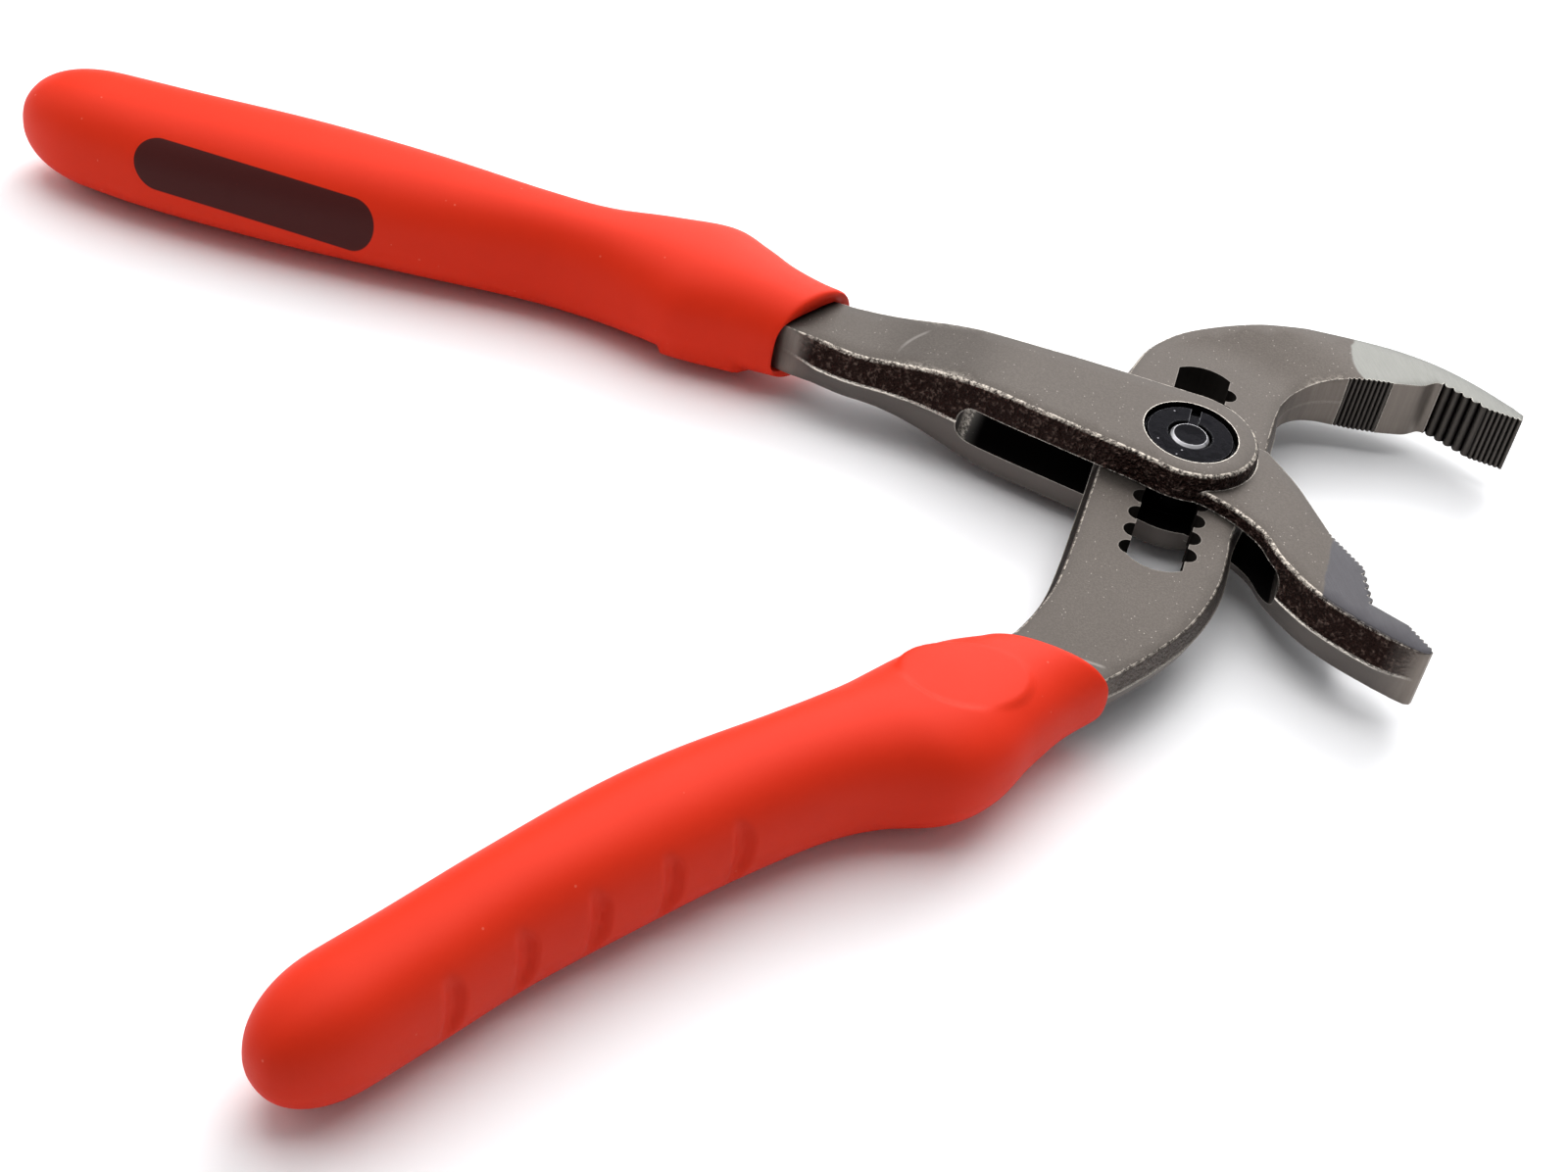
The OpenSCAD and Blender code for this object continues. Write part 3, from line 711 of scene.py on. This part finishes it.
# %% Pin
def spun_solid(name, profile):
    """A profile from the axis round to the axis again, spun, with one vertex at each pole."""
    points, index, one = spin(profile[1:-1])
    walls = np.stack([index[:, :-1], index[:, 1:], one[:, 1:], one[:, :-1]], -1).reshape(-1, 4)
    fans = [[a, b, len(points)] for a, b in zip(index[:, 0].tolist(), one[:, 0].tolist())]
    fans += [[b, a, len(points) + 1] for a, b in zip(index[:, -1].tolist(), one[:, -1].tolist())]
    poles = [(0, 0, profile[0, 1]), (0, 0, profile[-1, 1])]
    return link(name, plain_mesh(name, to_frame(np.vstack([points, poles])), walls.tolist() + fans))


half_pin = np.array([(0.0, DISC_TOP - 0.06), (1.2, DISC_TOP - 0.03), (PIN_R - PIN_CHAMFER, DISC_TOP),
                     (PIN_R, DISC_TOP - PIN_CHAMFER), (PIN_R, DISC_TOP - 1.1), (3.42, DISC_TOP - 1.2),
                     (3.0, DISC_TOP - 1.25)])
pin = spun_solid("pivot_pin_turned", np.vstack([half_pin, half_pin[::-1] * (1, -1)]))
sharpen(pin, SHARP_TURNED)
print("pin and discs:", [len(p.data.polygons) for p in discs + [pin]], "faces")

# %% [markdown]
# ## Riding and replacing
# Each new piece stands for one CAD node and moves with that node's body. The toothed barrel keeps its CAD
# shape, because little of it shows, and only gets a finish.

# %% Bodies, nodes and slots
for piece, body, cad_node, slot_name in (
        (outer_lever, "outer_lever", "outer_lever", "forged_steel"),
        (inner_lever, "inner_lever", "inner_lever", "forged_steel"),
        (outer_grip, "outer_lever", "outer_grip", "grip_plastic"),
        (inner_grip, "inner_lever", "inner_grip", "grip_plastic"),
        (discs[0], "barrel", "front_disc", "black_oxide"),
        (discs[1], "barrel", "rear_disc", "black_oxide"),
        (pin, "pivot", "pivot_pin", "turned_steel")):
    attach(piece, body)
    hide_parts(cad_node)
    print(piece.name, "rides on", body)

# %% [markdown]
# ## Finishes
# Four finishes share a few effects, so each effect is a shader node group with its own inputs: a place in
# millimetres, worn edges, fine specks, a rough forged skin and the lines of a grinding belt.

# %% Helpers for shader trees
def calc(tree, operation, a, b=0.0):
    """One Math node."""
    return node(tree, "Math", {0: a, 1: b}, operation=operation).outputs[0]


def times(tree, first, *others):
    """The product of some values."""
    for other in others:
        first = calc(tree, "MULTIPLY", first, other)
    return first


def plus(tree, a, b):
    return calc(tree, "ADD", a, b)


def minus(tree, a, b):
    return calc(tree, "SUBTRACT", a, b)


def hypotenuse(tree, a, b):
    """The square root of a^2 + b^2."""
    return calc(tree, "SQRT", plus(tree, times(tree, a, a), times(tree, b, b)))


def between(tree, value, low, high):
    """0 up to low, 1 from high on, and a smooth step between them. It falls where low is the larger one."""
    return node(tree, "MapRange", {0: value, 1: low, 2: high}, interpolation_type="SMOOTHSTEP").outputs[0]


def noise(tree, place, scale, detail=2.0, roughness=0.5):
    """Noise from 0 to 1, with lumps of about 1 / scale millimetres."""
    values = {"Vector": place, "Scale": scale, "Detail": detail, "Roughness": roughness}
    return node(tree, "TexNoise", values).outputs["Fac"]


# %% Helpers for colours and groups
def colour(red, green, blue):
    return (red, green, blue, 1.0)


def mix(tree, share, a, b):
    """Two colours mixed by a share."""
    return node(tree, "Mix", {0: share, 6: a, 7: b}, data_type="RGBA").outputs[2]


def group(name, inputs, outputs):
    """An empty node group with its inputs, as title, kind and default, and its outputs, as title and kind."""
    tree = bpy.data.node_groups.new(name, "ShaderNodeTree")
    for title, kind, default in inputs:
        socket = tree.interface.new_socket(title, in_out="INPUT", socket_type=kind)
        if default is not None:
            socket.default_value = default
    for title, kind in outputs:
        tree.interface.new_socket(title, in_out="OUTPUT", socket_type=kind)
    return tree, tree.nodes.new("NodeGroupInput").outputs, tree.nodes.new("NodeGroupOutput").inputs


def use(tree, effect, **values):
    """A group placed in a material, with its inputs set."""
    made = tree.nodes.new("ShaderNodeGroup")
    made.node_tree = effect
    for key, value in values.items():
        feed(tree, made.inputs[key], value)
    return made.outputs


FLOAT, VECTOR = "NodeSocketFloat", "NodeSocketVector"

# %% Group: place in millimetres
# Upright is 0 on a level face and 1 on an upright one. Facing is 1 upwards and -1 downwards. Rolled is the
# band of slopes that a rounded edge runs through.
tree, taken, given = group("tool_place", [], [("Place", VECTOR)] + [
    (title, FLOAT) for title in ("X", "Y", "Z", "Upright", "Facing", "Rolled")])
corner_place = node(tree, "TexCoord").outputs["Object"]
shift = {"Vector": corner_place, "Location": tuple(-PIVOT * 1000), "Scale": (1000, 1000, 1000)}
about_pivot = node(tree, "Mapping", shift).outputs[0]
parts = node(tree, "SeparateXYZ", {0: about_pivot}).outputs
surface = node(tree, "NewGeometry").outputs
flat_lean = node(tree, "SeparateXYZ", {0: surface["True Normal"]}).outputs["Z"]
lean = calc(tree, "ABSOLUTE", node(tree, "SeparateXYZ", {0: surface["Normal"]}).outputs["Z"])
rolled = times(tree, between(tree, lean, 0.985, 0.93), between(tree, lean, 0.5, 0.66))
feed(tree, given["Place"], about_pivot)
for axis in "XYZ":
    feed(tree, given[axis], parts[axis])
feed(tree, given["Upright"], minus(tree, 1.0, calc(tree, "ABSOLUTE", flat_lean)))
feed(tree, given["Facing"], flat_lean)
feed(tree, given["Rolled"], rolled)
tool_place = tree

# %% Group: worn edges
# A bevelled normal differs from the plain one near an edge. Patchy is how much of the edge noise hides.
tree, taken, given = group(
    "worn_edges", [("Place", VECTOR, None), ("Width", FLOAT, 0.4), ("Patchy", FLOAT, 0.5)], [("Mask", FLOAT)])
metres = calc(tree, "DIVIDE", taken["Width"], 1000.0)
rounded = node(tree, "Bevel", {"Radius": metres}, samples=6).outputs[0]
plain = node(tree, "NewGeometry").outputs["Normal"]
agreement = node(tree, "VectorMath", {0: rounded, 1: plain}, operation="DOT_PRODUCT").outputs["Value"]
bare = between(tree, noise(tree, taken["Place"], 1.6, 4.0), 0.25, 0.6)
kept = minus(tree, 1.0, times(tree, taken["Patchy"], minus(tree, 1.0, bare)))
feed(tree, given["Mask"], times(tree, between(tree, agreement, 0.985, 0.87), kept))
worn_edges = tree

# %% Group: specks
# Small dots at the points of a Voronoi pattern, for the chosen share of its cells.
tree, taken, given = group(
    "specks", [("Place", VECTOR, None), ("Scale", FLOAT, 3.0), ("Share", FLOAT, 0.1)], [("Mask", FLOAT)])
dots = node(tree, "TexVoronoi", {"Vector": taken["Place"], "Scale": taken["Scale"]}).outputs
lottery = node(tree, "SeparateXYZ", {0: dots["Color"]}).outputs["X"]
chosen = calc(tree, "LESS_THAN", lottery, taken["Share"])
feed(tree, given["Mask"], times(tree, chosen, between(tree, dots["Distance"], 0.32, 0.12)))
specks = tree

# %% Group: forged skin
# Lumps of about the given size in millimetres, with finer grain on them: 1.2 * grain - 0.8 * lumps.
tree, taken, given = group("forged_skin", [("Place", VECTOR, None), ("Size", FLOAT, 1.0)],
                           [("Height", FLOAT), ("Peaks", FLOAT)])
scale = calc(tree, "DIVIDE", 1.0, taken["Size"])
lumps = node(tree, "TexVoronoi", {"Vector": taken["Place"], "Scale": scale}, feature="SMOOTH_F1")
grain = noise(tree, taken["Place"], times(tree, scale, 2.2), 2.5)
skin = minus(tree, times(tree, grain, 1.2), times(tree, lumps.outputs["Distance"], 0.8))
feed(tree, given["Height"], skin)
feed(tree, given["Peaks"], between(tree, skin, 0.26, 0.62))
forged_skin = tree

# %% Group: grinding lines
# Noise that is turned about Z and then drawn out along one direction.
tree, taken, given = group(
    "grinding_lines", [("Place", VECTOR, None), ("Angle", FLOAT, 0.0), ("Stretch", VECTOR, (0.05, 1.0, 1.0)),
                       ("Fineness", FLOAT, 6.0)], [("Lines", FLOAT)])
swing = {"Vector": taken["Place"], "Angle": taken["Angle"]}
swung = node(tree, "VectorRotate", swing, rotation_type="Z_AXIS").outputs[0]
drawn = node(tree, "VectorMath", {0: swung, 1: taken["Stretch"]}, operation="MULTIPLY").outputs[0]
feed(tree, given["Lines"], noise(tree, drawn, taken["Fineness"], 6.0, 0.7))
grinding = tree
print("effects:", [g.name for g in (tool_place, worn_edges, specks, forged_skin, grinding)])


# %% Helpers for materials
def bump(tree, height, strength, metres, normal=None):
    """A normal that follows a height."""
    values = {"Height": height, "Strength": strength, "Distance": metres}
    if normal is not None:
        values["Normal"] = normal
    return node(tree, "Bump", values).outputs[0]


def finish_with(piece, material):
    """Give every face of a piece one material."""
    piece.data.materials.clear()
    piece.data.materials.append(material)
    piece.data.polygons.foreach_set("material_index", np.zeros(len(piece.data.polygons), np.int32))


# %% [markdown]
# The steel of the two levers is one function, which lays its finishes over each other. The faces are satin,
# warm grey and finely specked. The flanks are the rough skin of the forging, dark above the parting line
# and smoother below it. The jaw ends are ground, and the edges are worn to bare metal. Painted light is laid
# on too: painted shade on the teeth, darkest in their roots, a painted highlight with the bare metal along
# the rounded edges, and painted shade, near black, in the gap, the bores and the slot.

# %% Faces and flanks of the steel
def satin_faces(tree, at, cloud, fine):
    """Warm grey: cloudy over centimetres, grainy below a millimetre, with a few bright dots."""
    satin = mix(tree, cloud, colour(0.067, 0.0575, 0.0515), colour(0.082, 0.0715, 0.0640))
    dim = mix(tree, 0.5, satin, colour(0.03, 0.026, 0.022))
    satin = mix(tree, between(tree, fine, 0.35, 0.7), dim, satin)
    dots = use(tree, specks, Place=at, Scale=2.6, Share=0.05)["Mask"]
    return mix(tree, times(tree, dots, 0.6), satin, colour(0.34, 0.31, 0.28))


def smooth_flanks(tree, at, forged, cloud):
    """Plain grey where the flank was forged, and streaked through the thickness where it was cut."""
    pressed = mix(tree, cloud, colour(0.13, 0.113, 0.103), colour(0.17, 0.152, 0.14))
    streaks = use(tree, grinding, Place=at, Stretch=(1.0, 1.0, 0.04), Fineness=1.1)["Lines"]
    cut = mix(tree, streaks, colour(0.13, 0.112, 0.099), colour(0.27, 0.236, 0.207))
    return mix(tree, forged, cut, pressed)


# %% Ground ends and wheel marks
def ground_end(tree, at, x, y, start, bend):
    """1 where a jaw end is ground: for x beyond start + bend * (y - 40)^2, along a slightly ragged line."""
    rise = minus(tree, y, 40.0)
    border = plus(tree, times(tree, rise, rise, bend), start + 0.4)
    ragged = plus(tree, x, times(tree, noise(tree, at, 0.5), 0.8))
    return between(tree, minus(tree, ragged, border), -0.25, 0.25)


def wheel_mark(tree, x, y, centre_x, centre_y, radius, low, high):
    """A thin arc that a grinding wheel leaves: close to a circle, and between two places along X."""
    away = hypotenuse(tree, minus(tree, x, centre_x), minus(tree, y, centre_y))
    off = calc(tree, "ABSOLUTE", minus(tree, away, radius))
    ends = times(tree, between(tree, x, low - 0.6, low + 0.6), between(tree, x, high + 0.6, high - 0.6))
    return times(tree, between(tree, off, 0.4, 0.1), ends)


# %% Dark places of each lever, painted with shade
def cheeks_inside(tree, place):
    """Painted shade, near black, on the walls of the gap, which face the mid-plane, except at its end, and on
    the bores. No edge is spared.
    """
    towards = times(tree, place["Facing"], calc(tree, "SIGN", place["Z"]))
    wall = times(tree, between(tree, towards, -0.3, -0.7), between(tree, place["X"], -34.0, -31.0))
    bored = calc(tree, "LESS_THAN", hypotenuse(tree, place["X"], place["Y"]), BORE_R + 0.15)
    return calc(tree, "MAXIMUM", wall, times(tree, bored, between(tree, place["Upright"], 0.3, 0.7))), 0.0


def rack_inside(tree, place):
    """Painted shade, near black, on the walls of the slot; the plate's edge towards the grips is darkened
    with the same colour. The second value is where worn edges are held back: over the slot with its notches."""
    x, y = place["X"], place["Y"]
    near = calc(tree, "LESS_THAN", calc(tree, "ABSOLUTE", x), SLOT_HALF + NOTCH_R + 0.4)
    above_low_end = calc(tree, "GREATER_THAN", y, -SLOT_BOTTOM - 0.4)
    slot_zone = times(tree, near, above_low_end, calc(tree, "LESS_THAN", y, SLOT_TOP + 0.4))
    edge = times(tree, between(tree, x, -5.0, -6.0), between(tree, y, -6.0, -9.0))
    dark = calc(tree, "MAXIMUM", times(tree, slot_zone, 0.92), times(tree, edge, 0.8))
    return times(tree, dark, between(tree, place["Upright"], 0.3, 0.7)), times(tree, slot_zone, 0.85)


# %% Forged steel
# Painted shade on the teeth: lighter on the crests, near black in the roots.
CREST_SHADE, ROOT_SHADE = colour(0.12, 0.108, 0.098), colour(0.003, 0.003, 0.003)
ROUGH_LOW, ROUGH_HIGH = colour(0.022, 0.012, 0.010), colour(0.10, 0.069, 0.058)
BARE_AND_HIGHLIT_EDGE, RIDGE_BARE = colour(0.62, 0.56, 0.49), colour(0.75, 0.70, 0.63)
WORN_BARE, MARK_BARE = colour(0.78, 0.73, 0.66), colour(0.3, 0.28, 0.26)
SHADOW_BLACK = colour(0.004, 0.0035, 0.0035)


def forged_steel(name, ground, ground_grey, rough_side, dark_places, arc_mark):
    """The steel of one lever. ground holds the start and the bend of its ground end, rough_side the strength
    of the rough skin, and dark_places gives what is painted near black as shade and which edges are kept from
    wear."""
    made, tree, shader = fresh(name)
    place = use(tree, tool_place)
    at, x, y, z, upright = (place[key] for key in ("Place", "X", "Y", "Z", "Upright"))
    forged = node(tree, "Attribute", attribute_name="forged").outputs["Fac"]
    toothed = node(tree, "Attribute", attribute_name="toothed").outputs["Fac"]
    cloud = noise(tree, at, 0.09, 3.0)
    fine = noise(tree, at, 3.2, 4.0, 0.75)
    scratches = noise(tree, at, 1.5, 6.0, 0.75)
    skin = use(tree, forged_skin, Place=at, Size=0.95)
    lines = use(tree, grinding, Place=at, Angle=1.1, Fineness=5.0)["Lines"]
    black, unworn = dark_places(tree, place)

    side = between(tree, upright, 0.1, 0.45)
    rough = times(tree, side, forged, rough_side)
    rough_up = times(tree, rough, between(tree, z, -0.3, 0.3))
    end = times(tree, ground_end(tree, at, x, y, *ground), minus(tree, 1.0, side))
    tooth = times(tree, toothed, side)

    shade = mix(tree, side, satin_faces(tree, at, cloud, fine), smooth_flanks(tree, at, forged, cloud))
    shade = mix(tree, rough_up, shade, mix(tree, skin["Peaks"], ROUGH_LOW, ROUGH_HIGH))
    polished = mix(tree, lines, *(colour(*(level * v for v in ground_grey)) for level in (0.7, 1.2)))
    shade = mix(tree, end, shade, polished)
    # Painted shade on the teeth: near black in the roots, lighter on the crests.
    shade = mix(tree, between(tree, tooth, 0.0, 0.6), shade, mix(tree, tooth, CREST_SHADE, ROOT_SHADE))
    # Rounded edges, broken by noise: partly rubbed bare metal, partly a painted highlight along the roll of
    # the edge.
    rolled = times(tree, place["Rolled"], between(tree, scratches, 0.40, 0.60), minus(tree, 1.0, end), 0.85)
    shade = mix(tree, rolled, shade, BARE_AND_HIGHLIT_EDGE)
    shade = mix(tree, times(tree, wheel_mark(tree, x, y, *arc_mark), 0.25), shade, MARK_BARE)
    worn = use(tree, worn_edges, Place=at, Width=0.35, Patchy=0.6)["Mask"]
    worn = times(tree, worn, minus(tree, 0.75, times(tree, tooth, 0.8)), minus(tree, 1.0, unworn))
    shade = mix(tree, calc(tree, "MAXIMUM", worn, 0.0), shade, WORN_BARE)
    parting = times(tree, between(tree, calc(tree, "ABSOLUTE", z), 0.42, 0.12), rough)
    shade = mix(tree, times(tree, parting, between(tree, fine, 0.4, 0.5)), shade, RIDGE_BARE)
    # Painted shade: the dark places take a near-black colour and lose their metal, so they show no
    # reflection.
    feed(tree, shader.inputs["Base Color"], mix(tree, black, shade, SHADOW_BLACK))

    feed(tree, shader.inputs["Metallic"], minus(tree, 1.0, black))
    shader.inputs["Specular IOR Level"].default_value = 0.0
    gloss = minus(tree, plus(tree, 0.44, times(tree, fine, 0.16)), times(tree, end, 0.10))
    feed(tree, shader.inputs["Roughness"], minus(tree, gloss, times(tree, rough_up, 0.14)))
    relief = bump(tree, skin["Height"], rough_up, 0.001)
    grainy = plus(tree, times(tree, fine, 0.5), times(tree, lines, end))
    feed(tree, shader.inputs["Normal"], bump(tree, grainy, 0.35, 0.00006, relief))
    return made


finish_with(outer_lever, forged_steel("forged_steel_outer", (24.6, 0.0), (0.034, 0.0325, 0.036), 1.0,
                                      cheeks_inside, (-33.0, -1.0, 14.7, -47.0, -44.0)))
finish_with(inner_lever, forged_steel("forged_steel_inner", (22.0, 0.045), (0.110, 0.110, 0.102), 0.85,
                                      rack_inside, (-5.5, -80.0, 26.0, -8.0, -3.0)))
print("steel:", [m.name for m in bpy.data.materials if m.name.startswith("forged")])

# %% [markdown]
# Black oxide is a thin dark coat on steel: nearly black and half glossy, with bare metal where a corner is
# rubbed. The pin has the same finish with a bright turned chamfer, which is a band between two radii: partly
# bare turned metal, partly a painted highlight where the chamfer catches the light.

# %% Black oxide
def black_oxide(name, bright_ring=None):
    """The coat, with a bright band between the two radii of bright_ring if it is given: partly bare metal,
    partly a painted highlight on the chamfer.
    """
    made, tree, shader = fresh(name)
    place = use(tree, tool_place)
    at = place["Place"]
    cloud = noise(tree, at, 0.8, 5.0)
    shade = mix(tree, cloud, colour(0.006, 0.006, 0.0065), colour(0.015, 0.0148, 0.016))
    dots = use(tree, specks, Place=at, Scale=1.5, Share=0.06)["Mask"]
    shade = mix(tree, times(tree, dots, 0.5), shade, colour(0.35, 0.34, 0.36))
    worn = use(tree, worn_edges, Place=at, Width=0.18, Patchy=0.7)["Mask"]
    shade = mix(tree, times(tree, worn, 0.3), shade, colour(0.4, 0.4, 0.42))
    if bright_ring:
        # Painted highlight with bare metal on the turned chamfer, broken by the cloud noise.
        low, high = bright_ring
        radius = hypotenuse(tree, place["X"], place["Y"])
        outside = between(tree, radius, low - 0.08, low + 0.02)
        within = between(tree, radius, high + 0.03, high - 0.03)
        band = times(tree, outside, within, between(tree, cloud, 0.2, 0.45))
        shade = mix(tree, band, shade, colour(0.72, 0.71, 0.73))
    feed(tree, shader.inputs["Base Color"], shade)
    shader.inputs["Metallic"].default_value = 1.0
    shader.inputs["Specular Tint"].default_value = colour(0.07, 0.07, 0.075)
    feed(tree, shader.inputs["Roughness"], plus(tree, 0.36, times(tree, cloud, 0.2)))
    feed(tree, shader.inputs["Normal"], bump(tree, cloud, 0.4, 0.00004))
    return made


oxide = black_oxide("black_oxide")
for disc in discs:
    finish_with(disc, oxide)
finish_with(pin, black_oxide("turned_steel_black", (PIN_R - PIN_CHAMFER, PIN_R)))
barrel = frame["nodes"]["toothed_barrel"]
barrel.material_slots[0].material = black_oxide("black_oxide_barrel")
print("black oxide on", len(discs) + 2, "pieces")

# %% [markdown]
# The plastic of the grips is opaque and evenly coloured, with a very fine grain from the mould and a soft
# sheen. The outer grip carries a plain dark printed capsule: everything within one radius of a straight
# stroke along the near flank. Lift is the height across the stroke, on the plane of that flank.

# %% Printed capsule
CAPSULE_X, CAPSULE_HALF, CAPSULE_R, CAPSULE_LIFT = -153.0, 16.0, 4.0, -1.0
FLANK_PLANE = (0.64, 0.77)


def capsule(tree, place, grain):
    """1 within the capsule, on the near side of the grip only, and with a few pinholes."""
    x, y, z = (place[key] for key in "XYZ")
    along = minus(tree, calc(tree, "ABSOLUTE", minus(tree, x, CAPSULE_X)), CAPSULE_HALF)
    height = plus(tree, times(tree, y, FLANK_PLANE[0]), times(tree, z, FLANK_PLANE[1]))
    lift = minus(tree, height, CAPSULE_LIFT)
    away = hypotenuse(tree, calc(tree, "MAXIMUM", along, 0.0), lift)
    near_side = calc(tree, "LESS_THAN", minus(tree, y, z), 6.0)
    inked = between(tree, away, CAPSULE_R + 0.08, CAPSULE_R - 0.08)
    return times(tree, inked, near_side, between(tree, grain, 0.22, 0.3))


# %% Grip plastic
def grip_plastic(name, printed=False):
    made, tree, shader = fresh(name)
    place = use(tree, tool_place)
    at = place["Place"]
    cloud = noise(tree, at, 0.05, 3.0)
    grain = noise(tree, at, 2.4, 5.0, 0.65)
    shade = mix(tree, cloud, colour(0.68, 0.0270, 0.0075), colour(0.75, 0.034, 0.0100))
    scuffs = use(tree, specks, Place=at, Scale=1.3, Share=0.004)["Mask"]
    shade = mix(tree, times(tree, scuffs, 0.25), shade, colour(0.95, 0.35, 0.25))
    if printed:
        shade = mix(tree, times(tree, capsule(tree, place, grain), 0.95), shade, colour(0.03, 0.012, 0.012))
    feed(tree, shader.inputs["Base Color"], shade)
    feed(tree, shader.inputs["Roughness"], plus(tree, 0.46, times(tree, grain, 0.12)))
    shader.inputs["IOR"].default_value = 1.38
    shader.inputs["Specular IOR Level"].default_value = 0.15
    feed(tree, shader.inputs["Normal"], bump(tree, grain, 0.25, 0.00008))
    return made


finish_with(outer_grip, grip_plastic("grip_plastic_outer", True))
finish_with(inner_grip, grip_plastic("grip_plastic_inner"))
print("materials:", len(bpy.data.materials))
